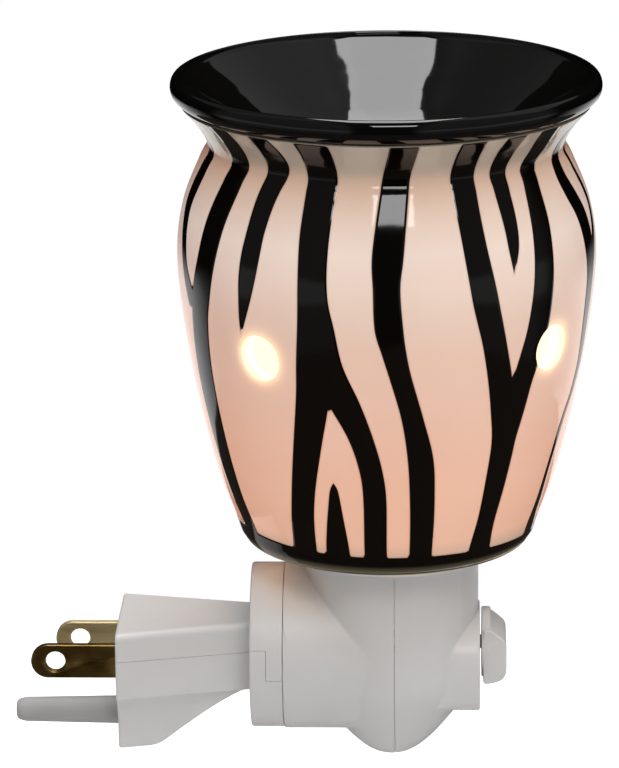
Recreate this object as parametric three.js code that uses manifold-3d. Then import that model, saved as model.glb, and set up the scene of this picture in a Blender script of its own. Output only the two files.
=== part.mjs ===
import * as THREE from 'three';
import { mergeVertices } from 'three/addons/utils/BufferGeometryUtils.js';
import Module from 'manifold-3d';

// Plug-in wax warmer: a ceramic jar with a lift-off wax dish over a night-light base.
// Millimetres, +Z up. The origin is the centre of the plug's face, on the swivel axis.
// The plug points along -X and the jar stands over the far end of the base.

const wasm = await Module();
wasm.setup();

// Clearances
const restGap = 0.3;          // between pieces that rest on each other
const fitGap = 0.3;           // round a piece that sits in a slot or bore
const seamGap = 0.24;         // between the halves of a moulded housing
const past = 5;               // how far a cutting tool runs past what it cuts

// Plug
const plugLength = 24.6;
const plugFaceHalfWidth = 12.5;
const plugNeckHalfWidth = 6.4;
const plugTop = 5.8;
const plugSideDrop = 6.6;
const plugBottom = 17.8;
const plugBottomHalfWidth = 8;
const plugFlatLength = 6.4;
const plugNeckDrop = 6.8;
const plugWall = 1.8;
const plugSeam = 0.6;
const bladeSpacing = 12.7;
const hotBladeLength = 15.9;
const neutralBladeLength = 12.3;
const bladeHeight = 6.35;
const bladeThickness = 1.5;
const bladeHole = 3.6;
const bladeHoleFromTip = 4.5;
const bladeTail = 6.2;
const bladeDrop = 1.1;
const groundBelowBlades = 11.9;
const groundLength = 19.4;
const groundRootRadius = 2.6;
const groundTipRadius = 2.25;
const groundHeadWidth = 8.4;
const groundHeadRise = 4;
const groundHeadLength = 1.7;

// Swivel collar, split like the plug
const collarRadius = 15.2;
const collarWidth = 6;
const collarWall = 1.7;
const collarStep = 3;
const collarSeamHigh = 3.8;
const collarSeamLow = -1.9;
const swivelTubeRadius = 9;
const swivelBoreRadius = 7;
const swivelFlangeRadius = 11.6;
const swivelFlangeWidth = 1.5;

// Contacts across the swivel
const contactDiscRadius = 6.4;
const contactDiscWidth = 1.6;
const contactHoleRadius = 4.4;
const ringOuterRadius = 5.9;
const ringInnerRadius = 4.3;
const buttonRadius = 1.6;
const contactThickness = 0.6;
const springRadius = 0.8;
const carrierWidth = 2;

// Base housing
const axisToFace = 50.4;      // from the plug's face to the lamp's axis
const bodyRadius = 15.8;
const housingWall = 2;
const barrelRadius = 15.45;
const bodyTop = 19.6;
const domeShoulder = -4;
const domeDepth = 20.9;
const housingSeam = 0.6;      // the halves meet this far past the lamp's axis
const ledgeRadius = 9.6;
const ledgeThickness = 2;

// Switch
const bossHalfWidth = 12;
const bossHalfHeight = 8.4;
const bossStand = 0.4;          // the boss stands this far out past the body
const bossDrop = 1.2;
const bossTopPower = 2.5;       // 2 is an oval, more is squarer
const bossBottomPower = 7;
const switchRise = 0.6;
const caseRadius = 4.8;
const caseLength = 10;
const terminalSide = 3;
const terminalHalfWidth = 1.2;
const shaftRadius = 1.3;
const shaftLength = 9.6;
const shaftInCase = 4.8;
const knobRadius = 6.5;
const knobDisc = 1.7;
const knobReach = 4.6;
const knobBarWidth = 12.6;
const knobBarTop = 4.3;
const knobBarBottom = 6.3;
const terminalLength = 2.2;

// Seat and lamp holder
const seatRadius = 20.5;
const seatThickness = 1.7;
const seatSkirtDepth = 4.6;
const seatSpigotHeight = 1.8;
const seatSpigotWall = 1.5;
const spigotGap = 1.1;
const jarPlayShare = 0.75;    // the jar stands this share of that gap nearer the plug
const socketRadius = 9;
const socketFlangeRadius = 11.4;
const socketFlangeThickness = 1.7;
const socketBottom = 7;
const socketTop = 27;
const socketFloor = 1.7;
const shellTailSide = 5;        // from the lamp's axis to the screw shell's solder tail
const shellWall = 0.5;

// Lamp
const capRadius = 5.95;
const capLength = 15;
const tipLength = 1.8;
const tipRadius = 2.2;
const lampLength = 54;
const glassRadius = 11;
const glassNeckRadius = 5.2;
const glassWall = 0.8;
const stemRadius = 2.4;
const stemHeight = 9;
const filamentSpread = 4.5;
const filamentRise = 13;
const filamentWire = 0.35;

// Jar
const jarHeight = 81.1;
const jarFootRadius = 25.6;
const jarBandRadius = 28.1;
const jarBellyRadius = 37.7;
const jarNeckRadius = 32.05;
const jarLipRadius = 36.9;
const jarWall = 3.2;
const jarLipWall = 1.9;         // the wall thins from the neck to the lip
const jarNeckShare = 0.912;     // the neck's height, as a share of the jar's
const jarFloor = 3;
const jarHoleRadius = 16.6;
const ventRadius = 4;
const ventHeight = 41.4;
const ventCount = 4;
const ventTurn = -36.7;         // degrees from +X to the first vent, seen from above

// Dish
const dishRimRadius = 37.9;
const dishWidestRadius = 38.55;
const dishLipHeight = 4.4;
const dishDepth = 16.5;
const dishWall = 2.6;
const dishFootInset = 12.25;    // from the neck's bore in to the foot of the bowl's cone
const dishLipWall = 1.75;       // between the jar's lip and the bowl
const dishCorner = 9;           // how much of the cone and of the floor the round corner takes
const dishFit = 0.7;

// Leads
const leadRadius = 0.75;
const leadSwing = 6;            // how far a lead swings aside in the housing

const roundSides = 40;
const smallSides = 20;

// Places worked out from the sizes above
const collarStart = plugLength;
const bossReach = bodyRadius + bossStand;
const collarEnd = collarStart + collarWidth;
const groundDrop = bladeDrop + groundBelowBlades;
const barrelStart = collarEnd + restGap;
const swivelTubeStart = collarStart + collarWall + restGap;
const swivelFlangeEnd = swivelTubeStart + swivelFlangeWidth;
const seatBottom = bodyTop + restGap;
const seatTop = seatBottom + seatThickness;
const skirtBottom = seatBottom - seatSkirtDepth;
const jarBottom = seatTop + restGap;
const jarTop = jarBottom + jarHeight;
const dishBottomOfLip = jarTop + restGap;
const rimTop = dishBottomOfLip + dishLipHeight;
const socketFlangeTop = skirtBottom - restGap;
const socketFlangeBottom = socketFlangeTop - socketFlangeThickness;
const ledgeTop = socketFlangeBottom - restGap;
const shellOuterRadius = capRadius + fitGap + shellWall;
const contactTop = socketBottom + socketFloor + restGap + contactThickness;
const lampBottom = contactTop + restGap;
const capBottom = lampBottom + tipLength;
const capTop = capBottom + capLength;
const glassBottom = capTop + restGap;
const lampTop = lampBottom + lampLength;

const finish = (color, roughness, metalness = 0) =>
  new THREE.MeshStandardMaterial({ color, roughness, metalness });
const whitePlastic = finish(0xd9d7d2, 0.42);
const insulator = finish(0xc8b68c, 0.6);
const blackPlastic = finish(0x1a1a1a, 0.5);
const blackGlaze = finish(0x0d0b0a, 0.12);
const paleGlaze = finish(0xeccdb8, 0.15);
const brass = finish(0xb89444, 0.3, 1);
const clearGlass = finish(0xf4f2ec, 0.05);
const tungsten = finish(0x6f6a60, 0.5, 1);
const copperLead = finish(0xb8b8b8, 0.6);

const model = new THREE.Group();
const plug = new THREE.Group();
const base = new THREE.Group();
const lampAxis = new THREE.Group();
lampAxis.position.x = axisToFace;
const jarAxis = new THREE.Group();
jarAxis.position.x = axisToFace - jarPlayShare * spigotGap;
base.add(lampAxis, jarAxis);
model.add(plug, base);

// A geometry with shared corners, no flat triangles and its faces pointing out.
function closed(geometry) {
  const bare = geometry.clone();
  bare.deleteAttribute('normal');
  bare.deleteAttribute('uv');
  const merged = mergeVertices(bare, 1e-4);
  const corners = merged.attributes.position;
  const index = merged.index.array;
  const kept = [];
  const a = new THREE.Vector3();
  const b = new THREE.Vector3();
  const c = new THREE.Vector3();
  let volume = 0;
  for (let i = 0; i < index.length; i += 3) {
    const [p, q, r] = [index[i], index[i + 1], index[i + 2]];
    if (p === q || q === r || r === p) continue;
    a.fromBufferAttribute(corners, p);
    b.fromBufferAttribute(corners, q);
    c.fromBufferAttribute(corners, r);
    volume += a.dot(b.cross(c));
    kept.push(p, q, r);
  }
  if (volume < 0) {
    for (let i = 0; i < kept.length; i += 3) [kept[i], kept[i + 1]] = [kept[i + 1], kept[i]];
  }
  merged.setIndex(kept);
  return merged;
}

// Every shape is held as a solid, so that it can be joined and cut.
function solid(geometry) {
  const shape = closed(geometry);
  const vertProperties = new Float32Array(shape.attributes.position.array);
  const triVerts = new Uint32Array(shape.index.array);
  return new wasm.Manifold(new wasm.Mesh({ numProp: 3, vertProperties, triVerts }));
}

function addPart(parent, name, shape, material) {
  const mesh = shape.getMesh();
  const geometry = new THREE.BufferGeometry();
  geometry.setAttribute('position', new THREE.BufferAttribute(mesh.vertProperties, 3));
  geometry.setIndex(new THREE.BufferAttribute(mesh.triVerts, 1));
  geometry.computeVertexNormals();
  const part = new THREE.Mesh(geometry, material);
  part.name = name;
  parent.add(part);
  return part;
}

// A turned shape round the Z axis from [radius, height] points.
function turned(points, sides = roundSides) {
  const profile = points.map(([radius, height]) => new THREE.Vector2(radius, height));
  return solid(new THREE.LatheGeometry(profile, sides).rotateX(Math.PI / 2));
}

// A turned ring or sleeve: the profile closes on itself.
const turnedRing = (points, sides) => turned([...points, points[0]], sides);

const rod = (radius, bottom, top, sides = roundSides) =>
  turned([[0, bottom], [radius, bottom], [radius, top], [0, top]], sides);

// The same along X: heights become distances along X, about a line at height z.
function alongX(shape, y = 0, z = 0) {
  return shape.rotate([0, 90, 0]).translate([0, y, z]);
}

const rodX = (radius, start, end, y = 0, z = 0, sides = roundSides) =>
  alongX(rod(radius, start, end, sides), y, z);

function box(x0, x1, y0, y1, z0, z1) {
  const geometry = new THREE.BoxGeometry(x1 - x0, y1 - y0, z1 - z0);
  geometry.translate((x0 + x1) / 2, (y0 + y1) / 2, (z0 + z1) / 2);
  return solid(geometry);
}

const outline = (points) => new THREE.Shape(points.map(([u, v]) => new THREE.Vector2(u, v)));

function prism(points, depth) {
  const geometry = new THREE.ExtrudeGeometry(outline(points), { depth, bevelEnabled: false, curveSegments: 8 });
  return geometry.translate(0, 0, -depth / 2);
}

// Prisms whose outlines are drawn in the X-Y, X-Z and Y-Z planes.
const prismXY = (points, depth) => solid(prism(points, depth));
const prismXZ = (points, depth) => solid(prism(points, depth).rotateX(Math.PI / 2));
const prismYZ = (points, depth) => solid(prism(points, depth).rotateX(Math.PI / 2).rotateZ(Math.PI / 2));

// A wire or strip of round section along a smooth curve through the points.
function wire(points, radius, steps = 10, sides = 6) {
  const path = new THREE.CatmullRomCurve3(points.map(([x, y, z]) => new THREE.Vector3(x, y, z)));
  const section = new THREE.Shape();
  for (let i = 0; i < sides; i += 1) {
    const turn = (2 * Math.PI * i) / sides;
    const [u, v] = [radius * Math.cos(turn), radius * Math.sin(turn)];
    if (i === 0) section.moveTo(u, v);
    else section.lineTo(u, v);
  }
  return solid(new THREE.ExtrudeGeometry(section, { steps, bevelEnabled: false, extrudePath: path }));
}

// Plug block: wide at the face, drawn in to the collar, with a sloped chin below.
function plugBlock(inset) {
  const from = inset;
  const to = plugLength + collarWall / 2;
  const taper = (plugFaceHalfWidth - plugNeckHalfWidth) / plugLength;
  const widthAt = (x) => plugFaceHalfWidth - taper * x - inset;
  const tall = 4 * (plugTop + plugBottom);
  const wide = 4 * plugFaceHalfWidth;
  const plan = [[from, -widthAt(from)], [to, -widthAt(to)], [to, widthAt(to)], [from, widthAt(from)]];
  const side = [
    [from, -plugBottom + inset], [plugFlatLength, -plugBottom + inset],
    [plugLength - 1.5, -plugNeckDrop + inset], [to, -plugNeckDrop + inset],
    [to, plugTop + 0.4 - inset], [from, plugTop - inset],
  ];
  const front = [
    [-plugBottomHalfWidth + inset, -plugBottom + inset], [plugBottomHalfWidth - inset, -plugBottom + inset],
    [plugFaceHalfWidth - inset, -plugSideDrop], [plugFaceHalfWidth - inset, plugTop - 1.6 - inset],
    [plugFaceHalfWidth - 1.6 - inset, plugTop + 0.6 - inset],
    [-plugFaceHalfWidth + 1.6 + inset, plugTop + 0.6 - inset],
    [-plugFaceHalfWidth + inset, plugTop - 1.6 - inset], [-plugFaceHalfWidth + inset, -plugSideDrop],
  ];
  return prismXY(plan, tall).intersect(prismXZ(side, wide)).intersect(prismYZ(front, 4 * plugLength));
}

const bladeAt = (side) => ({ y: (side * bladeSpacing) / 2, z: -bladeDrop });

function buildPlugShells() {
  const collar = rodX(collarRadius, collarStart, collarEnd);
  const flangeRoom = rodX(swivelFlangeRadius + fitGap, collarStart + collarWall, swivelFlangeEnd + restGap);
  const tubeRoom = rodX(swivelTubeRadius + fitGap, swivelFlangeEnd, collarEnd + past);
  const discRoom = rodX(contactHoleRadius, plugLength - collarWall, collarStart + past, 0, 0, smallSides);
  let shell = plugBlock(0).add(collar).subtract(plugBlock(plugWall)
    .subtract(rodX(collarRadius + past, collarStart, collarEnd)));
  shell = shell.subtract(flangeRoom).subtract(tubeRoom).subtract(discRoom);
  const halfSlot = bladeThickness / 2 + fitGap;
  const slotHeight = bladeHeight / 2 + fitGap;
  for (const side of [-1, 1]) {
    const { y, z } = bladeAt(side);
    shell = shell.subtract(box(-past, plugWall + past, y - halfSlot, y + halfSlot, z - slotHeight, z + slotHeight));
  }
  shell = shell.subtract(rodX(groundRootRadius + fitGap, -past, plugWall + past, 0, -groundDrop, smallSides));
  const [far, deep] = [collarEnd + past, collarRadius + past];
  const stepAt = collarStart + collarStep;
  const above = (gap) => prismXZ([
    [-past, plugSeam + gap], [collarStart - gap, plugSeam + gap], [collarStart - gap, collarSeamHigh + gap],
    [stepAt + gap, collarSeamHigh + gap], [stepAt + gap, collarSeamLow + gap], [far, collarSeamLow + gap],
    [far, deep], [-past, deep],
  ], 4 * collarRadius);
  addPart(plug, 'plug_upper_shell', shell.intersect(above(seamGap / 2)), whitePlastic);
  addPart(plug, 'plug_lower_shell', shell.subtract(above(-seamGap / 2)), whitePlastic);
}

// A blade lies in the X-Z plane: round nose, a cross hole near it, and a tail inside the plug.
function buildBlades() {
  for (const [name, side, length] of [['hot_blade', -1, hotBladeLength], ['neutral_blade', 1, neutralBladeLength]]) {
    const { y, z } = bladeAt(side);
    const half = bladeHeight / 2;
    const nose = new THREE.Shape();
    nose.moveTo(bladeTail, -half);
    nose.lineTo(bladeTail, half);
    nose.lineTo(-length + half, half);
    nose.absarc(-length + half, 0, half, Math.PI / 2, 1.5 * Math.PI, false);
    nose.closePath();
    const hole = new THREE.Path();
    hole.absarc(-length + bladeHoleFromTip, 0, bladeHole / 2, 0, 2 * Math.PI, true);
    nose.holes.push(hole);
    const options = { depth: bladeThickness, bevelEnabled: false, curveSegments: 10 };
    const geometry = new THREE.ExtrudeGeometry(nose, options).translate(0, 0, -bladeThickness / 2);
    addPart(plug, name, solid(geometry.rotateX(Math.PI / 2).translate(0, y, z)), brass);
  }
}

function buildGroundPin() {
  const headStart = plugWall + restGap;
  const headEnd = headStart + groundHeadLength;
  const chamfer = 1;
  const pin = turned([
    [0, -groundLength], [groundTipRadius - chamfer, -groundLength], [groundTipRadius, -groundLength + chamfer],
    [groundRootRadius, 0], [groundRootRadius, headEnd], [0, headEnd],
  ], smallSides);
  const halfHead = groundHeadWidth / 2;
  const head = box(headStart, headEnd, -halfHead, halfHead, -groundDrop - groundTipRadius, -groundDrop + groundHeadRise);
  addPart(plug, 'ground_pin', alongX(pin, 0, -groundDrop).add(head), whitePlastic);
}

// The plug carries a ring and a button, and the base carries two spring fingers that ride on
// them, so that no wire is wound up when the base is turned.
function buildSwivelContacts() {
  const neckStart = plugLength - collarWall + fitGap;
  const discStart = collarStart + collarWall + restGap;
  const discEnd = discStart + contactDiscWidth;
  const disc = turned([
    [0, neckStart], [contactHoleRadius - fitGap, neckStart], [contactHoleRadius - fitGap, discStart],
    [contactDiscRadius, discStart], [contactDiscRadius, discEnd], [0, discEnd],
  ], smallSides);
  addPart(plug, 'contact_disc', alongX(disc), insulator);
  const faceStart = discEnd + 0.1;
  const faceEnd = faceStart + contactThickness;
  const ring = turnedRing([
    [ringInnerRadius, faceStart], [ringOuterRadius, faceStart], [ringOuterRadius, faceEnd], [ringInnerRadius, faceEnd],
  ], smallSides);
  addPart(plug, 'hot_contact_ring', alongX(ring), brass);
  addPart(plug, 'neutral_contact_button', rodX(buttonRadius, faceStart, faceEnd, 0, 0, 16), brass);

  const carrierStart = barrelStart + restGap;
  const carrierEnd = carrierStart + carrierWidth;
  const ringMiddle = (ringOuterRadius + ringInnerRadius) / 2;
  const carrier = rodX(swivelBoreRadius - fitGap, carrierStart, carrierEnd, 0, 0, smallSides);
  const bore = springRadius + 0.25;
  const through = (y, z) => rodX(bore, carrierStart - past, carrierEnd + past, y, z, 12);
  addPart(base, 'contact_carrier', carrier.subtract(through(0, 0)).subtract(through(0, ringMiddle)), insulator);
  const fingerStart = faceEnd + restGap;
  const fingerEnd = carrierEnd + 1.8;
  addPart(base, 'neutral_spring_finger', rodX(springRadius, fingerStart, fingerEnd, 0, 0, 12), brass);
  addPart(base, 'hot_spring_finger', rodX(springRadius, fingerStart, fingerEnd, 0, ringMiddle, 12), brass);

  // Inside the plug, from each blade's tail to the back of the disc.
  const tail = bladeTail + restGap + leadRadius;
  const leadEnd = neckStart - restGap;
  const leadRise = 2 * leadRadius + 0.1;
  const along = (share) => tail + (leadEnd - tail) * share;
  for (const [name, side, z] of [['hot_plug_lead', -1, leadRise], ['neutral_plug_lead', 1, -leadRise]]) {
    const blade = bladeAt(side);
    const lead = wire([
      [tail, blade.y, blade.z], [along(0.32), blade.y * 0.85, blade.z * 0.8],
      [along(0.64), blade.y * 0.45, z], [leadEnd, side * leadRise, z],
    ], leadRadius);
    addPart(plug, name, lead, copperLead);
  }
  return { fingerEnd, ringMiddle };
}

// The body is a pot with a pointed dome below. A barrel runs to the swivel and a boss holds the switch.
function bodyProfile(inset) {
  const radius = bodyRadius - inset;
  const depth = domeDepth - inset * 1.3;
  const dome = new THREE.SplineCurve([
    new THREE.Vector2(0, -depth),
    new THREE.Vector2(radius * 0.24, -depth + domeDepth * 0.045),
    new THREE.Vector2(radius * 0.48, -depth + domeDepth * 0.19),
    new THREE.Vector2(radius * 0.72, -depth + domeDepth * 0.41),
    new THREE.Vector2(radius * 0.9, -depth + domeDepth * 0.61),
    new THREE.Vector2(radius, domeShoulder),
  ]);
  return dome.getPoints(8).map((p) => [Math.max(p.x, 0), p.y]);
}

// The boss's outline in the Y-Z plane: nearly an oval above and squarer below.
function bossOutline() {
  return Array.from({ length: roundSides }, (_, i) => {
    const turn = (2 * Math.PI * i) / roundSides;
    const [across, up] = [Math.cos(turn), Math.sin(turn)];
    const power = up > 0 ? bossTopPower : bossBottomPower;
    const reach = (Math.abs(across) ** power + Math.abs(up) ** power) ** (-1 / power);
    return [bossHalfWidth * across * reach, bossHalfHeight * up * reach - bossDrop];
  });
}

function buildHousing() {
  const turnedBody = (inset, top) => turned([...bodyProfile(inset), [bodyRadius - inset, top], [0, top]])
    .translate([axisToFace, 0, 0]);
  const boss = prismYZ(bossOutline(), bossReach).translate([axisToFace + bossReach / 2, 0, 0]);
  let shell = turnedBody(0, bodyTop).add(rodX(barrelRadius, barrelStart, axisToFace)).add(boss);
  const bossRoom = rodX(caseRadius + fitGap, axisToFace, axisToFace + bossReach - housingWall, 0, switchRise);
  const barrelRoom = rodX(barrelRadius - housingWall, barrelStart + housingWall, axisToFace);
  shell = shell.subtract(turnedBody(housingWall, bodyTop + past)).subtract(barrelRoom).subtract(bossRoom);
  const shaftHole = rodX(shaftRadius + fitGap, axisToFace, axisToFace + bossReach + past, 0, switchRise, smallSides);
  const tube = rodX(swivelTubeRadius, swivelTubeStart, barrelStart + housingWall)
    .add(rodX(swivelFlangeRadius, swivelTubeStart, swivelFlangeEnd));
  const tubeBore = rodX(swivelBoreRadius, 0, barrelStart + housingWall + past);
  const ledge = turnedRing([
    [ledgeRadius, ledgeTop - ledgeThickness], [bodyRadius - housingWall / 2, ledgeTop - ledgeThickness],
    [bodyRadius - housingWall / 2, ledgeTop], [ledgeRadius, ledgeTop],
  ]).translate([axisToFace, 0, 0]);
  shell = shell.add(tube).subtract(tubeBore).add(ledge).subtract(shaftHole);
  const seam = axisToFace + housingSeam;
  const wide = 3 * bodyRadius;
  const plugSide = box(0, seam - seamGap / 2, -wide, wide, -wide, wide);
  const switchSide = box(seam + seamGap / 2, seam + 3 * bossReach, -wide, wide, -wide, wide);
  addPart(base, 'housing_plug_side', shell.intersect(plugSide), whitePlastic);
  addPart(base, 'housing_switch_side', shell.intersect(switchSide), whitePlastic);
}

function buildSwitch() {
  const caseEnd = bossReach - housingWall - restGap;
  const caseStart = caseEnd - caseLength;
  const shaftStart = caseEnd - shaftInCase;
  const socket = rodX(shaftRadius + fitGap, shaftStart - restGap, caseEnd + past, 0, switchRise, 12);
  const body = rodX(caseRadius, caseStart, caseEnd, 0, switchRise, smallSides).subtract(socket);
  addPart(lampAxis, 'switch_case', body, blackPlastic);
  for (const [name, y] of [['switch_terminal_in', -terminalSide], ['switch_terminal_out', terminalSide]]) {
    const blade = box(caseStart - 0.1 - terminalLength, caseStart - 0.1, y - terminalHalfWidth, y + terminalHalfWidth,
      switchRise - 0.3, switchRise + 0.3);
    addPart(lampAxis, name, blade, brass);
  }
  const knobStart = bossReach + restGap;
  const knobEnd = knobStart + knobReach;
  const shaftEnd = shaftStart + shaftLength;
  addPart(lampAxis, 'knob_shaft', rodX(shaftRadius, shaftStart, shaftEnd, 0, switchRise, 12), brass);
  // A thumb block stands on the knob's disc, with a sloped top and a rounded lower end.
  const disc = rodX(knobRadius, knobStart, knobStart + knobDisc, 0, switchRise);
  const bar = prismXZ([
    [knobStart, -knobBarBottom], [knobEnd - 2, -knobBarBottom + 0.3], [knobEnd - 0.6, -knobBarBottom + 1],
    [knobEnd, -knobBarBottom + 2.2], [knobEnd, knobBarTop - 2.3], [knobStart + knobDisc, knobBarTop],
    [knobStart, knobBarTop],
  ], knobBarWidth).translate([0, 0, switchRise]);
  const shaftRoom = rodX(shaftRadius + fitGap, 0, shaftEnd + restGap, 0, switchRise, 12);
  addPart(lampAxis, 'switch_knob', disc.add(bar).subtract(shaftRoom), whitePlastic);
  return { terminalStart: caseStart - 0.1 - terminalLength };
}

function buildSeatAndSocket() {
  const spigot = jarHoleRadius - spigotGap;
  const skirt = bodyRadius - housingWall - fitGap;
  const bore = socketRadius + fitGap;
  addPart(lampAxis, 'jar_seat', turnedRing([
    [bore, skirtBottom], [skirt, skirtBottom], [skirt, seatBottom], [seatRadius, seatBottom],
    [seatRadius, seatTop], [spigot, seatTop], [spigot, seatTop + seatSpigotHeight],
    [spigot - seatSpigotWall, seatTop + seatSpigotHeight], [spigot - seatSpigotWall, seatTop], [bore, seatTop],
  ]), whitePlastic);
  const floorTop = socketBottom + socketFloor;
  const innerRadius = shellOuterRadius + fitGap;
  const tailHole = (x) => rod(1.1, socketBottom - past, floorTop + past, 12).translate([x, 0, 0]);
  const holder = turned([
    [0, socketBottom], [socketRadius, socketBottom], [socketRadius, socketFlangeBottom],
    [socketFlangeRadius, socketFlangeBottom], [socketFlangeRadius, socketFlangeTop],
    [socketRadius, socketFlangeTop], [socketRadius, socketTop], [innerRadius, socketTop],
    [innerRadius, floorTop], [0, floorTop],
  ], smallSides).subtract(tailHole(0)).subtract(tailHole(-shellTailSide));
  addPart(lampAxis, 'lamp_socket', holder, insulator);
  const tailRadius = 0.8;
  const tailEnd = socketBottom - 0.8;
  const tab = rod(tipRadius + 0.4, contactTop - contactThickness, contactTop, 16);
  const tail = rod(tailRadius, tailEnd, contactTop - contactThickness / 2, 10);
  addPart(lampAxis, 'centre_contact', tab.add(tail), brass);
  const shellBottom = floorTop + restGap;
  const sleeve = turnedRing([
    [capRadius + fitGap, shellBottom], [shellOuterRadius, shellBottom],
    [shellOuterRadius, socketTop - 1.5], [capRadius + fitGap, socketTop - 1.5],
  ], smallSides);
  const foot = box(-shellOuterRadius + 0.1, -shellTailSide + 1, -1, 1, shellBottom, shellBottom + contactThickness)
    .add(rod(tailRadius, tailEnd, shellBottom + contactThickness / 2, 10).translate([-shellTailSide, 0, 0]));
  addPart(lampAxis, 'screw_shell', sleeve.add(foot), brass);
  return { tailEnd };
}

function buildLamp() {
  addPart(lampAxis, 'lamp_tip', rod(tipRadius, lampBottom, capBottom - 0.1, 16), brass);
  const cap = turnedRing([
    [glassNeckRadius - 1.2, capBottom], [capRadius - 0.8, capBottom], [capRadius, capBottom + 1.2],
    [capRadius, capTop], [capRadius - 0.5, capTop], [glassNeckRadius - 1.2, capBottom + 1.2],
  ], 24);
  addPart(lampAxis, 'lamp_cap', cap, brass);
  const height = lampTop - glassBottom;
  const envelope = (inset, from) => new THREE.SplineCurve([
    new THREE.Vector2(glassNeckRadius - inset, from),
    new THREE.Vector2(glassRadius * 0.8 - inset, glassBottom + height * 0.22),
    new THREE.Vector2(glassRadius - inset, glassBottom + height * 0.5),
    new THREE.Vector2(glassRadius * 0.72 - inset, glassBottom + height * 0.83),
    new THREE.Vector2(0, lampTop - inset),
  ]).getPoints(8).map((p) => [Math.max(p.x, 0), p.y]);
  const glass = turned([...envelope(0, glassBottom).reverse(), ...envelope(glassWall, glassBottom)], smallSides);
  addPart(lampAxis, 'lamp_glass', glass, clearGlass);
  const stemTop = glassBottom + stemHeight;
  const stem = turned([
    [0, glassBottom], [glassNeckRadius - glassWall - fitGap, glassBottom], [stemRadius, glassBottom + 2.5],
    [stemRadius * 0.6, stemTop], [0, stemTop],
  ], 16);
  addPart(lampAxis, 'lamp_stem', stem, clearGlass);
  const foot = stemTop + restGap;
  const top = foot + filamentRise;
  addPart(lampAxis, 'lamp_filament', wire([
    [-1, 0, foot], [-filamentSpread * 0.7, 0, foot + filamentRise * 0.5], [-filamentSpread, 0, top - 1],
    [-filamentSpread * 0.5, 1, top + 0.6], [0, 1.4, top + 1], [filamentSpread * 0.5, 1, top + 0.6],
    [filamentSpread, 0, top - 1], [filamentSpread * 0.7, 0, foot + filamentRise * 0.5], [1, 0, foot],
  ], filamentWire, 20, 5), tungsten);
}

// How thick the jar's wall is at a share of its height.
function jarWallAt(share) {
  const thinned = Math.max(0, (share - jarNeckShare) / (1 - jarNeckShare));
  return jarWall - (jarWall - jarLipWall) * thinned;
}

// Jar wall from foot to lip, as a curve of radius against height above the foot.
function jarCurve(wallAt) {
  const at = (radius, share) => new THREE.Vector2(radius - wallAt(share), jarHeight * share);
  const swell = (share) => jarBandRadius + (jarBellyRadius - jarBandRadius) * share;
  return new THREE.SplineCurve([
    at(jarBandRadius - 1.1, 0.027), at(jarBandRadius, 0.068), at(swell(0.29), 0.165), at(swell(0.62), 0.325),
    at(swell(0.88), 0.5), at(jarBellyRadius, 0.66), at(jarBellyRadius - 1.2, 0.775), at(jarNeckRadius + 1.4, 0.872),
    at(jarNeckRadius, jarNeckShare), at(jarNeckRadius + 2, 0.96), at(jarLipRadius, 1),
  ]);
}

function buildJar() {
  const curve = (wallAt) => jarCurve(wallAt).getPoints(16).map((p) => [p.x, jarBottom + p.y]);
  const outside = curve(() => 0);
  const inside = curve(jarWallAt).filter(([, height]) => height > jarBottom + jarFloor + 1).reverse();
  let wall = turnedRing([
    [jarHoleRadius, jarBottom], [jarFootRadius, jarBottom], ...outside, ...inside,
    [inside[inside.length - 1][0] - 1.5, jarBottom + jarFloor], [jarHoleRadius, jarBottom + jarFloor],
  ]);
  for (let i = 0; i < ventCount; i += 1) {
    const drill = rodX(ventRadius, jarBellyRadius / 2, jarBellyRadius * 2, 0, jarBottom + ventHeight, smallSides);
    wall = wall.subtract(drill.rotate([0, 0, ventTurn + (360 / ventCount) * i]));
  }
  addPart(jarAxis, 'ceramic_jar', wall, paleGlaze);
}

// The dish's lip caps the jar, and its bowl hangs inside the jar's neck.
function buildDish() {
  const jarInside = jarNeckRadius - jarWall;
  const neckHeight = jarBottom + jarHeight * jarNeckShare;
  const lip = new THREE.SplineCurve([
    new THREE.Vector2(dishRimRadius - 0.3, rimTop - 0.25),
    new THREE.Vector2(dishRimRadius, rimTop),
    new THREE.Vector2(dishWidestRadius, rimTop - dishLipHeight * 0.4),
    new THREE.Vector2(dishWidestRadius - 0.9, rimTop - dishLipHeight * 0.8),
    new THREE.Vector2(jarLipRadius - 0.1, dishBottomOfLip),
  ]).getPoints(7).map((p) => [p.x, p.y]);
  // The bowl is a cone with a flat floor and a round corner between them.
  const floorHeight = rimTop - dishDepth;
  const mouthRadius = jarLipRadius - jarLipWall - dishFit;
  const coneFoot = new THREE.Vector2(jarInside - dishFootInset, floorHeight);
  const coneTop = new THREE.Vector2(mouthRadius, dishBottomOfLip + dishLipWall);
  const upTheCone = coneTop.clone().sub(coneFoot).setLength(dishCorner);
  const corner = new THREE.QuadraticBezierCurve(
    new THREE.Vector2(coneFoot.x - dishCorner, floorHeight), coneFoot, coneFoot.clone().add(upTheCone),
  ).getPoints(9).map((p) => [p.x, p.y]);
  const bowl = [[0, floorHeight], ...corner, [coneTop.x, coneTop.y], [dishRimRadius - 0.95, rimTop - 0.6]];
  const outerBottom = floorHeight - dishWall;
  const flareShare = 0.96;
  const outside = [
    [mouthRadius, dishBottomOfLip],
    [jarNeckRadius + 2 - jarWallAt(flareShare) - dishFit, jarBottom + jarHeight * flareShare],
    [jarInside - dishFit, neckHeight], [jarInside - dishFit - dishWall, neckHeight - dishWall * 0.8],
    [coneFoot.x + dishWall * 0.6, outerBottom + dishWall * 0.45], [coneFoot.x - dishCorner / 2, outerBottom],
    [0, outerBottom],
  ];
  addPart(jarAxis, 'wax_dish', turned([...bowl, ...lip, ...outside]), blackGlaze);
}

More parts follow.
